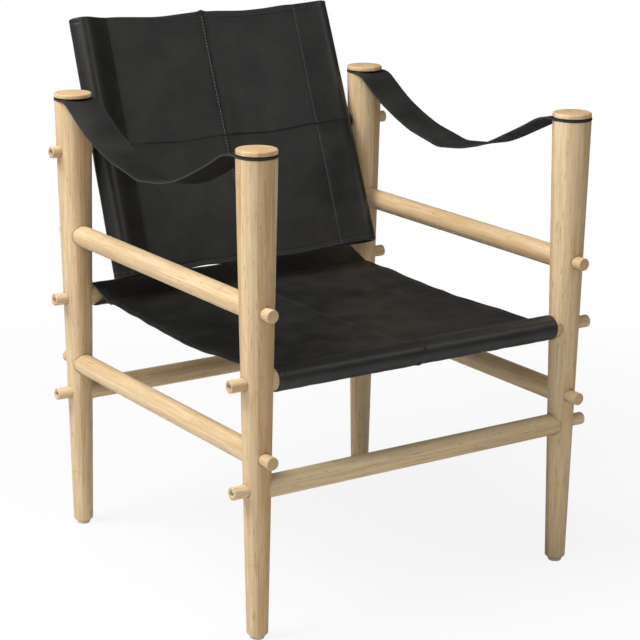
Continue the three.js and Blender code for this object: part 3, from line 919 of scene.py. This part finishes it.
# %% [markdown]
# ## How a sling is cut
# Seat and back are made alike. A flat sheet has its two free edges folded back and sewn as hems.
# Its ends are then led over a bar, round it and back under the sheet, and sewn down as a sleeve.
# We do just that: a flat grid carries the cut, and each point is moved by rules for the hem, the
# sleeve, the hollow and the seams. The sheet keeps its true length that way, which a shape sculpted
# in place would not. The grid is finer along the seams, where the leather bends most.

# %% Paths and cuts
LEATHER = 1.15 * MM
COARSE_STEP = 4.2 * MM
FINE_STEP = 1.1 * MM
FINE_REACH = 7 * MM
SOFT_SHARES = (-1, -0.5, 0, 0.5, 1)
PROBE = 0.4 * MM


class Path:
    """A line through points in a plane, walked by distance."""

    def __init__(self, points):
        self.points = [Vector(point) for point in points]
        self.marks = [0.0]
        for start, end in zip(self.points, self.points[1:]):
            self.marks.append(self.marks[-1] + (end - start).length)
        self.length = self.marks[-1]

    def at(self, distance):
        index = min(max(bisect.bisect(self.marks, distance), 1), len(self.points) - 1)
        before, after = self.marks[index - 1], self.marks[index]
        share = (distance - before) / (after - before)
        return self.points[index - 1].lerp(self.points[index], share)

    def soft(self, distance, reach):
        """The mean of a few places round this distance, which rounds the line's corners."""
        total = Vector((0, 0))
        for share in SOFT_SHARES:
            total += self.at(distance + reach * share)
        return total / len(SOFT_SHARES)

    def stand(self, distance, reach):
        """The softened place at this distance and the direction out of the line there."""
        way = self.soft(distance + PROBE, reach) - self.soft(distance - PROBE, reach)
        return self.soft(distance, reach), Vector((-way.y, way.x)).normalized()


def bell(distance, reach):
    """1 at no distance, fading to 0 beyond the reach."""
    return math.exp(-((distance / reach) ** 2))


def step(value, low, high):
    """0 below low, 1 above high and a soft step between them."""
    share = min(max((value - low) / (high - low), 0), 1)
    return share * share * (3 - 2 * share)


class Swell:
    """A soft ridge in the leather, or a groove if its height is below 0. All is in millimetres."""

    def __init__(self, place, reach, height=1):
        self.place = place * MM
        self.reach = reach * MM
        self.height = height * MM

    def share(self, distance):
        return bell(distance - self.place, self.reach)

    def at(self, distance):
        return self.height * self.share(distance)


class Ripple:
    """Slow noise with a height and a wave length in millimetres, and a seed that is its own."""

    def __init__(self, height, length, seed, apart=0):
        self.height = height * MM
        self.length = length * MM
        self.seed = seed
        self.apart = apart

    def at(self, across, along):
        spot = Vector((across / self.length, along / self.length, self.seed))
        return self.height * noise.noise(spot)

    def beside(self, across, along):
        """The same all over one side of the sheet, and something else on the other side."""
        return self.at(math.copysign(self.apart, across), along)


def spread(start, end, steps):
    """Places at even steps from start to end, with both of them."""
    return [start + (end - start) * index / steps for index in range(steps + 1)]


def flanked(inner, outer):
    """The inner places with the outer ones on both sides of them."""
    return [-place for place in reversed(outer)] + inner + outer


def stops(half, seams):
    """Where the grid's lines lie from -half to half, closer together near the seams."""
    places = [-half]
    while places[-1] < half:
        away = min(abs(places[-1] - seam) for seam in seams)
        places.append(places[-1] + (FINE_STEP if away < FINE_REACH else COARSE_STEP))
    places[-1] = half
    return places


def carry(sheet, columns, rows):
    """The grid of a sheet's cut, with each point carried to its place and marked with its wear and
    painted highlight.
    """
    bm = bmesh.new()
    counts = {"x_segments": len(columns) - 1, "y_segments": len(rows) - 1}
    bmesh.ops.create_grid(bm, size=0.5, **counts)
    wear_and_sheen = bm.verts.layers.float.new("wear_and_sheen")
    for vert in bm.verts:
        column = round((vert.co.x + 0.5) * (len(columns) - 1))
        row = round((vert.co.y + 0.5) * (len(rows) - 1))
        vert.co = (columns[column], rows[row], 0)
        across, along = vert.co.xy
        vert[wear_and_sheen] = sheet.wear_and_sheen(across, along)
        vert.co = sheet.spot(across, along)
    return bm


def thicken(piece, thickness, underside=0):
    """Gives a sheet its thickness, half on each side, with cut edges and the underside's material."""
    wall = piece.modifiers.new("leather", "SOLIDIFY")
    wall.thickness = thickness
    wall.offset = 0
    wall.use_even_offset = True
    wall.material_offset = underside
    wall.material_offset_rim = 1


print("a test cut has", len(stops(0.2, [0])), "lines")

# %% [markdown]
# ## The sling's shape
# A section through the sling is a line: flat to the sleeve's seam, up to the bar, round it, and back
# under itself. Taking the mean of nearby points softens its corners, as thick leather does. The hem
# is a half turn of small radius that puts a second layer under the first, between sheet and bar.
# Leather is never quite smooth either: it is drawn in under its stitches, puckers beside them and has
# fine waves. All of this is one rule from a point of the cut to a point in space.

# %% The sling class
SLEEVE_SEAM = 48 * MM
SLEEVE_FLAP = 12 * MM
LAYER = 1.3 * MM
SLEEVE_RADIUS = 18.5 * MM - LEATHER / 2
SHEET_LEVEL = 1.1 * MM - LEATHER / 2
FLAP_LEVEL = 3.4 * MM
ARC_STEPS = 28
SOFTEN = 5 * MM
HEM_WIDTH = 14 * MM
HEM_STITCH = 8 * MM
BAR_START = 10 * MM
SLEEVE_GROOVE = Swell(0, 1.8, -0.9)
HEM_GROOVE = Swell(0, 1.8, -0.4)
PUCKERED = Swell(12, 16)
PUCKER_DRAW = 0.3
# Where the leather is worn and painted with a highlight: round a bar and on a folded edge.
BAR_WEAR_SHEEN_BAND = Swell(62, 26)
RIM_WEAR_SHEEN_BAND = Swell(1, 3)
BAR_WEAR_AND_SHEEN = 0.75
RIM_WEAR_AND_SHEEN = 0.6


def sleeve_angle(level):
    """Where on the sleeve's round a straight line from its seam, at this level, meets it."""
    away = math.hypot(SLEEVE_SEAM, level)
    return math.pi - math.atan2(level, SLEEVE_SEAM) - math.acos(SLEEVE_RADIUS / away)


class Sling:
    """A sheet between two bars. Points of its cut are given across, along the bars, and along it.

    Each kind of sling adds its own pucker, fine ripple, bar_end and drift.
    """

    def __init__(self, span, width, hollow, edge_hollow, place):
        self.span = span
        self.width = width
        self.hollow = hollow
        self.edge_hollow = edge_hollow
        self.place = place
        self.seam = span / 2 - SLEEVE_SEAM
        self.path = Path(self.section())
        self.half_along = self.path.length / 2
        self.fold_start = width / 2 - LAYER / 2 - LEATHER / 2
        self.fold_length = math.pi * LAYER / 2
        self.half_across = self.fold_start + self.fold_length + HEM_WIDTH
        self.flap_start = self.half_along - SLEEVE_FLAP
        self.flat = (2 * self.half_across, 2 * self.half_along)

    def section(self):
        """The section through the sling, from the end of one flap to the end of the other."""
        start = sleeve_angle(SHEET_LEVEL)
        end = -sleeve_angle(FLAP_LEVEL)
        half = [(self.seam, SHEET_LEVEL)]
        for angle in spread(start, end, ARC_STEPS):
            past_bar = SLEEVE_RADIUS * math.cos(angle)
            half.append((self.span / 2 + past_bar, SLEEVE_RADIUS * math.sin(angle)))
        half += [(self.seam, -FLAP_LEVEL), (self.seam - SLEEVE_FLAP, -FLAP_LEVEL)]
        return [(-x, y) for x, y in reversed(half)] + half

    def folded(self, across):
        """Where the hem's fold puts a point of the cut: its place across and its depth."""
        past = abs(across) - self.fold_start
        if past <= 0:
            return across, 0.0
        radius = LAYER / 2
        turn = min(past / radius, math.pi)
        place = self.fold_start + radius * math.sin(turn) - (past - turn * radius)
        return math.copysign(place, across), radius * (math.cos(turn) - 1)

    def slack(self, along):
        """1 in the middle of the sheet, fading to 0 at its sleeves."""
        return math.cos(min(abs(along) / self.seam, 1) * math.pi / 2)

    def on_bar(self, along):
        """0 on the sheet and 1 where it lies round a bar."""
        return step(abs(along), self.seam + BAR_START, self.seam + self.bar_end)

    def relief(self, across, along):
        """How far the leather stands out of its plain shape, apart from hems and hollow."""
        past_seam = abs(along) - self.seam
        hem = HEM_GROOVE.at(abs(across) - self.width / 2 + HEM_STITCH)
        pucker = self.pucker.at(across, along * PUCKER_DRAW) * PUCKERED.share(past_seam)
        return SLEEVE_GROOVE.at(past_seam) + hem + pucker + self.fine.at(across, along)

    def spot(self, across, along):
        across, depth = self.folded(across)
        here, facing = self.path.stand(self.half_along + along, SOFTEN)
        level = 1 - (2 * across / self.width) ** 2
        here.y -= self.slack(here.x) ** 2 * (self.edge_hollow + (self.hollow - self.edge_hollow) * level)
        here += facing * (depth + self.relief(across, along))
        return self.put(Vector((across + self.drift(across, along), here.x, here.y)))

    def put(self, spot):
        """From the sling's own axes, across, along and out of its face, to the chair's."""
        return self.place @ spot

    def axes(self, across, along):
        """Unit vectors of the sheet at a point of its cut: across, along and out of its face."""
        sideways = self.spot(across + PROBE, along) - self.spot(across - PROBE, along)
        onward = self.spot(across, along + PROBE) - self.spot(across, along - PROBE)
        facing = sideways.cross(onward).normalized()
        return sideways.normalized(), onward.normalized(), facing

    def wear_and_sheen(self, across, along):
        """How worn the leather is and how much painted highlight it gets: most where it bends over a bar
        and on its folded edges.
        """
        bar = BAR_WEAR_AND_SHEEN * BAR_WEAR_SHEEN_BAND.share(abs(along) - self.seam)
        rim = RIM_WEAR_AND_SHEEN * RIM_WEAR_SHEEN_BAND.share(abs(across) - self.fold_start)
        return min(bar + rim, 1)


print("sling class is ready")

# %% [markdown]
# ## Lapped seams
# Each sling is pieced from four hides. At a lapped seam the upper hide swells up to its edge and then
# drops to the lower one, so one side catches light and the other is dark.

# %% The height of a lapped seam
LAP_UPPER = Swell(0, 8, 1.25)
LAP_LOWER = Swell(12, 12, 1.3)
LAP_EDGE = (-0.6 * MM, 1.2 * MM)


def lap(away):
    """Height of a lapped seam: the upper hide is where away is below 0."""
    edge = step(away, *LAP_EDGE)
    return LAP_UPPER.at(min(away, 0)) * (1 - edge) - LAP_LOWER.at(away) * edge


print("height of a lapped seam", [round(lap(place * MM) / MM, 2) for place in (-8, -2, 0, 2, 8)])

# %% [markdown]
# ## Stitching
# A sewing machine leaves a row of short thread bumps, each dipping into the leather at its ends.
# Each stitch here is a small flattened ball with few faces, because there are hundreds. They are set
# out along the cut and carried to their place by the same rule that shapes the sheet.

# %% Sew rows of stitches
STITCH_PITCH = 5.2 * MM
STITCH_LENGTH = 3.0 * MM
STITCH_WIDTH = 0.9 * MM
STITCH_HEIGHT = 0.7 * MM
FOLD_STEPS = 6
HEM_STEPS = 5
ROW_INSET = 2 * MM


def sew_row(sling, points):
    """A row of stitches along a line through these points of the sling's cut."""
    row = Path(points)
    count = round(row.length / STITCH_PITCH)
    size = Matrix.Diagonal((STITCH_LENGTH / 2, STITCH_WIDTH / 2, STITCH_HEIGHT / 2, 1))
    stitches = bmesh.new()
    for index in range(count):
        distance = row.length * (index + 0.5) / count
        across, along = row.at(distance)
        course = row.at(distance + PROBE) - row.at(distance - PROBE)
        sideways, onward, facing = sling.axes(across, along)
        way = (sideways * course.x + onward * course.y).normalized()
        spot = sling.spot(across, along) + facing * LEATHER / 2
        turn = Matrix((way, facing.cross(way), facing)).transposed().to_4x4()
        place = Matrix.Translation(spot) @ turn @ size
        bmesh.ops.create_uvsphere(stitches, u_segments=6, v_segments=5, radius=1, matrix=place)
    return stitches


def sew(name, sling, rows, body, thread):
    """One piece with all these rows of stitches."""
    bm = bmesh.new()
    for points in rows:
        add_to(bm, sew_row(sling, points))
    piece = make_piece(name, bm, thread)
    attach(piece, body)
    return piece


def sleeve_and_hem_rows(sling):
    """The rows that every sling has: those of its sleeves and hems, on the face and underneath."""
    rim = sling.width / 2 - ROW_INSET
    rows = []
    for side in SIDES.values():
        for reach in (sling.seam, sling.half_along - SLEEVE_FLAP / 2):
            rows.append([(-rim, side * reach), (rim, side * reach)])
        hem = side * (sling.width / 2 - HEM_STITCH)
        under = side * (sling.half_across - HEM_WIDTH + HEM_STITCH)
        for reach in (hem, under):
            rows.append([(reach, -sling.half_along), (reach, sling.half_along)])
    return rows


def sling_columns(sling, seam):
    """Where the grid's lines lie across the cut: the flat part, then a fold and a hem on each side."""
    stitch = sling.width / 2 - HEM_STITCH
    flat = stops(sling.fold_start, [seam, stitch, -stitch])
    hem_start = sling.fold_start + sling.fold_length
    folds = spread(sling.fold_start, hem_start, FOLD_STEPS)[1:-1]
    return flanked(flat, folds + spread(hem_start, sling.half_across, HEM_STEPS))


def make_sling(name, sling, seam, node):
    """The leather sheet itself, cut as a grid and thickened."""
    rows = stops(sling.half_along, [0, sling.seam, -sling.seam])
    piece = make_piece(name, carry(sling, sling_columns(sling, seam), rows), SLING_LEATHER, CUT_EDGE)
    thicken(piece, LEATHER)
    return settle(piece, node)


print("a stitch is", STITCH_LENGTH / MM, "mm long")

# %% [markdown]
# ## The seat's relief
# The seat has a seam from back to front and a faint one from side to side. Its leather wrinkles where
# it turns over the rails, apart from one taut place at the rear. Between the rails slow waves run
# through the sheet, and its free edges flutter and are drawn in a little.

# %% The seat's own shape
SEAT_SEAM_SIDE = 4 * MM
SEAT_SEAM_SWAY = 5 * MM
SEAT_SWAY_RUN = 40 * MM
SEAT_SEAM_SHARE = 0.7
SEAT_BAR_LOSS = 0.35
SEAT_LEVEL_SHARE = 0.18
SEAT_WRINKLE_DRAW = 0.6
SEAT_EDGE_LEAN = 3.6 * MM
SEAT_EDGE_PULL = 2.5 * MM
SEAT_EDGE_RUN = 20 * MM


class SeatSling(Sling):
    bar_end = 45 * MM
    pucker = Ripple(0.5, 13, 5.7)
    fine = Ripple(0.28, 24, 4.4)
    slow = Ripple(1.3, 105, 0.6)
    wrinkle = Ripple(0.5, 11, 2.2)
    level_seam = Ripple(2, 90, 8.3)
    flutter = Ripple(1.7, 42, 1.4, 0.3)
    ragged = Ripple(1.1, 34, 6.2, 0.7)
    seam_bow = Swell(-50, 110, 11.5)
    seam_ridge = Swell(-2.5, 3, 0.9)
    taut = Swell(-35, 50, -1)
    rim = Swell(0, 26)

    def seam_across(self, along):
        sway = SEAT_SEAM_SWAY * step(-along, self.seam, self.seam + SEAT_SWAY_RUN)
        return SEAT_SEAM_SIDE + self.seam_bow.at(along) - sway

    def relief(self, across, along):
        bar = self.on_bar(along)
        away = across - self.seam_across(along)
        seam = lap(away) * (SEAT_SEAM_SHARE - SEAT_BAR_LOSS * bar) + self.seam_ridge.at(away) * bar
        seam += lap(along - self.level_seam.at(across, 0)) * SEAT_LEVEL_SHARE
        rear = step(along, 0, self.seam)
        wrinkle = self.wrinkle.at(across * SEAT_WRINKLE_DRAW, along)
        wrinkle *= 1 - self.taut.share(across) * rear
        wrinkle += self.taut.at(across) * rear
        flutter = self.flutter.beside(across, along) * self.rim.share(abs(across) - self.width / 2)
        wave = flutter + self.slow.at(across, along)
        lean = SEAT_EDGE_LEAN * (2 * across / self.width) ** 3 * self.slack(along)
        return super().relief(across, along) + seam + wrinkle * bar + wave * (1 - bar) + lean

    def drift(self, across, along):
        """How far the leather is pulled along the bars."""
        reach = abs(2 * across / self.width) ** 3
        sheet = 1 - step(abs(along), self.seam - SEAT_EDGE_RUN, self.seam + SEAT_EDGE_RUN)
        pull = SEAT_EDGE_PULL * self.slack(along)
        return math.copysign(reach * sheet, across) * (self.ragged.beside(across, along) - pull)


print("the seat's seam bows by", round(SeatSling.seam_bow.height / MM, 1), "mm")

# %% [markdown]
# ## Seat
# The seat's sheet runs from the front rail to the rear one, a little hollow in the middle. Its hems
# lie along the chair's sides. The stitches of its seam follow the upper hide's edge to the front sleeve.

# %% Make the seat
SEAT_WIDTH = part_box("seat_leather")[1].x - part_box("seat_leather")[0].x
SEAT_SAG = 8 * MM
SEAT_EDGE_SAG = 7 * MM
SEAT_SEAM = 10 * MM
SEAM_STITCH = 2.5 * MM
SEAM_POINTS = 24


def make_seat():
    front = middle("seat_front_rail")
    rear = middle("seat_rear_rail")
    place = Matrix.Translation((front + rear) / 2)
    sling = SeatSling(rear.y - front.y, SEAT_WIDTH, SEAT_SAG, SEAT_EDGE_SAG, place)
    piece = make_sling("seat_sling", sling, SEAT_SEAM, "seat_leather")
    rows = sleeve_and_hem_rows(sling)
    reaches = spread(-sling.seam, sling.flap_start, SEAM_POINTS)
    rows.append([(sling.seam_across(along) - SEAM_STITCH, along) for along in reaches])
    thread = sew("seat_stitches", sling, rows, "frame", THREAD)
    return sling.flat


print("seat is cut to", make_seat())

# %% [markdown]
# ## The back's relief
# The back has an upright seam and a level one, and a few folds pressed in by use. Its weight makes the
# sheet sag a few millimetres between seam and sleeve, which shows in its top edge. Its right pole leans
# more than its left one, so the sheet between them is twisted.

# %% The back's own shape
FOLD_WIDTH = 3 * MM
FOLD_FADE = 0.42
BACK_FOLDS = [(-127, 69, -32, 75, 1.1), (-150, 40, -95, 47, 0.6), (120, 62, 170, 55, 0.6)]
BACK_FOLDS += [(60, -70, 130, -62, 0.7), (-120, -60, -70, -72, 0.7), (180, 40, 216, 8, 0.9)]
UPRIGHT_SIDE = 4.5 * MM
UPRIGHT_SLANT = 8 * MM
UPRIGHT_SHARE = 1.1
LEVEL_HEIGHT = 1 * MM
LEVEL_SHARE = 0.26
LEVEL_GAIN = 0.32
LEVEL_RUN = (-30 * MM, 40 * MM)
CREASE_ACROSS = 0.5
CREASE_SLANT = 0.4
CREASE_DRAW = 0.2
BACK_TIP = 4 * MM
TIP_RUN = 44 * MM
FLAP_RUN = 14 * MM
TOP_RUN = 20 * MM
FOOT_RUN = 40 * MM
BACK_SAG = 3.6 * MM


def fold_line(spot, start, end):
    """1 on the line between two places, fading beside it and toward its ends."""
    line = end - start
    share = (spot - start).dot(line) / line.length_squared
    away = (spot - start - line * share).length
    return bell(away, FOLD_WIDTH) * bell(share - 0.5, FOLD_FADE)


class BackSling(Sling):
    bar_end = 40 * MM
    pucker = Ripple(0.5, 15, 5.1)
    fine = Ripple(0.28, 22, 4.9)
    slow = Ripple(1.5, 95, 9.6)
    crease = Ripple(0.8, 17, 1.9)
    upright_seam = Ripple(1.2, 120, 3.3)
    level_seam = Ripple(1.5, 110, 7.5)
    ragged = Ripple(0.6, 45, 2.8, 0.4)
    creased_sides = Swell(20, 40)
    creased_middle = Swell(0, 60)
    dimple_side = Swell(34, 7, 1.6)
    dimple_middle = Swell(14, 6)
    seam_end = Swell(0, 6, 2.2)
    foot_lift = Swell(-80, 36, 4.9)

    def seam_along(self, across):
        return UPRIGHT_SIDE + UPRIGHT_SLANT * across / self.width + self.upright_seam.at(across, 0)

    def relief(self, across, along):
        height = -across
        past_seam = abs(along) - self.seam
        level_share = LEVEL_SHARE + LEVEL_GAIN * step(along, *LEVEL_RUN)
        seam = lap(along - self.seam_along(across)) * UPRIGHT_SHARE
        seam += lap(LEVEL_HEIGHT - height - self.level_seam.at(0, along)) * level_share
        dimple = self.dimple_side.at(past_seam) * self.dimple_middle.share(height)
        wave = self.slow.at(across, along) * (1 - self.on_bar(along))
        slanted = across * CREASE_ACROSS + along * CREASE_SLANT
        crease = self.crease.at(slanted, along * CREASE_DRAW)
        crease *= self.creased_sides.share(past_seam) * self.creased_middle.share(height)
        for x, z, end_x, end_z, depth in BACK_FOLDS:
            ends = (Vector((x, z)) * MM, Vector((end_x, end_z)) * MM)
            crease -= depth * MM * fold_line(Vector((along, height)), *ends)
        sheet = 1 - step(past_seam, 0, TIP_RUN)
        flap = step(abs(along), self.flap_start - FLAP_RUN, self.flap_start)
        tip = BACK_TIP * (sheet * along / self.seam - math.copysign(flap, along))
        return super().relief(across, along) + seam + dimple + wave + crease + tip

    def drift(self, across, along):
        """How far the leather is pulled along the bars."""
        sag = BACK_SAG * math.sin(min(abs(along) / self.seam, 1) * math.pi) ** 2
        top = step(-across, self.width / 2 - TOP_RUN, self.width / 2)
        foot = step(across, self.width / 2 - FOOT_RUN, self.width / 2)
        lift = self.seam_end.at(along - self.seam_along(across)) * top + self.foot_lift.at(along) * foot
        return sag + self.ragged.beside(across, along) - lift

    def put(self, spot):
        twist = Matrix.Rotation(-BACK_TWIST * 2 * spot.y / self.span, 3, "Y")
        return self.place @ (twist @ spot)


print("back has", len(BACK_FOLDS), "folds")

# %% [markdown]
# ## Back
# The back is the same kind of sling, stood up between its two poles and leaning 21 degrees. Its
# upright seam is sewn with a paler thread than the rest.

# %% Make the back
BACK_BILLOW = 7 * MM
BACK_EDGE_BILLOW = 3 * MM


def make_back():
    pole_x = middle("back_right_pole").x
    axes = Matrix(((0, 1, 0), (0, 0, -1), (-1, 0, 0))).to_4x4()
    place = back_place(BACK_TILT) @ DROP @ axes
    sling = BackSling(2 * pole_x, BACK_HEIGHT, BACK_BILLOW, BACK_EDGE_BILLOW, place)
    piece = make_sling("back_sling", sling, 0, "back_leather")
    thread = sew("back_stitches", sling, sleeve_and_hem_rows(sling), "back", THREAD)
    rim = sling.width / 2 - HEM_STITCH
    reaches = spread(-rim, rim, SEAM_POINTS)
    seam = [(across, sling.seam_along(across) - SEAM_STITCH) for across in reaches]
    centre = sew("back_seam_stitches", sling, [seam], "back", PALE_THREAD)
    return sling.flat


print("back is cut to", make_back())

# %% [markdown]
# ## Arm straps
# An arm strap is one thick band with round ends, clamped under the caps and hanging in a slack curve.
# Leather keeps the bends it was given: it leaves the posts level, runs down nearly straight and has a
# soft kink behind its middle. So its line goes through a few places read from the picture, softened
# at the corners. The loose middle also rolls a little toward the sitter.

# %% Make the arm straps
STRAP_WIDTH = 58 * MM
STRAP_THICKNESS = 2.4 * MM
STRAP_LEVEL = 681 * MM
STRAP_SOFTEN = 10 * MM
STRAP_CUP = 1.2 * MM
STRAP_ROLLED = Swell(10, 120)
# The strap's edges are worn and carry a painted highlight.
STRAP_EDGE_WEAR_SHEEN_BAND = Swell(0, 3)
STRAP_EDGE_WEAR_AND_SHEEN = 0.7
STRAP_DRAW = 0.4
CLAMP_END = 60 * MM
CLAMP_RUN = 50 * MM
SHIFT_REACH = 150
STRAP_ROLL = {"left": -0.13, "right": 0.05}
STRAP_SHIFT = {"left": 0, "right": 9}
STRAP_FRONT = [(-236, 0), (-220, -4), (-184, -22), (-128, -48), (-90, -64), (-50, -74)]
STRAP_REAR = [(12, -82), (35, -77), (90, -67), (130, -54), (170, -38), (222, -8), (236, 0)]
END_STEPS = 14


class Strap:
    """A hanging band. Points of its cut are given across it and along it from its middle."""

    def __init__(self, side):
        front = middle(f"front_{side}_post")
        rear = middle(f"rear_{side}_post")
        self.slow = Ripple(1.1, 80, SIDES[side] * 4.3)
        self.roll = STRAP_ROLL[side]
        self.place = Matrix.Translation((front.x, (front.y + rear.y) / 2, STRAP_LEVEL))
        end = (rear.y - front.y + STRAP_WIDTH) / 2
        shift = STRAP_SHIFT[side]
        spots = STRAP_FRONT + STRAP_REAR
        line = [Vector((y + shift * bell(y, SHIFT_REACH), z)) * MM for y, z in spots]
        self.path = Path([(-end, 0), *line, (end, 0)])
        self.half = self.path.length / 2

    def wear_and_sheen(self, across, along):
        """How worn the leather is and how much painted highlight it gets: only along its edges."""
        return STRAP_EDGE_WEAR_AND_SHEEN * STRAP_EDGE_WEAR_SHEEN_BAND.share(abs(across) - STRAP_WIDTH / 2)

    def relief(self, across, along):
        clamp = self.half - CLAMP_END
        slack = 1 - step(abs(along), clamp - CLAMP_RUN, clamp)
        cup = STRAP_CUP * (2 * across / STRAP_WIDTH) ** 2
        return slack * (self.slow.at(across * STRAP_DRAW, along) - cup)

    def spot(self, across, along):
        here, facing = self.path.stand(self.half + along, STRAP_SOFTEN)
        lift = self.roll * across * STRAP_ROLLED.share(here.x)
        here += facing * (self.relief(across, along) + lift)
        to_end = max(STRAP_WIDTH / 2 - (self.half - abs(along)), 0)
        narrow = math.sqrt(max(1 - (2 * to_end / STRAP_WIDTH) ** 2, 0))
        return self.place @ Vector((across * narrow, here.x, here.y))


def strap_rows(strap):
    """Where the grid's lines lie along the cut, closer together in the round ends."""
    straight = strap.half - STRAP_WIDTH / 2
    turns = spread(0, QUARTER, END_STEPS)[1:]
    rounds = [straight + STRAP_WIDTH / 2 * math.sin(turn) for turn in turns]
    return flanked(stops(straight, [2 * straight]), rounds)


def make_strap(side):
    strap = Strap(side)
    half_width = STRAP_WIDTH / 2
    bm = carry(strap, stops(half_width, [half_width, -half_width]), strap_rows(strap))
    bmesh.ops.remove_doubles(bm, verts=bm.verts, dist=MERGE_DISTANCE)
    piece = make_piece(f"{side}_strap_band", bm, STRAP_LEATHER, CUT_EDGE, FLESH_SIDE)
    thicken(piece, STRAP_THICKNESS, underside=2)
    posts = [f"{row}_{side}_post" for row in ROWS]
    hole = DOWEL_RADIUS + FIT
    drill(piece, [bore(hole, 0, 2 * STRAP_LEVEL, upright(post)) for post in posts])
    settle(piece, f"{side}_arm_strap")
    flat = (STRAP_WIDTH, 2 * strap.half)
    return flat


for side_name in SIDES:
    print(side_name, "strap is cut to", make_strap(side_name))
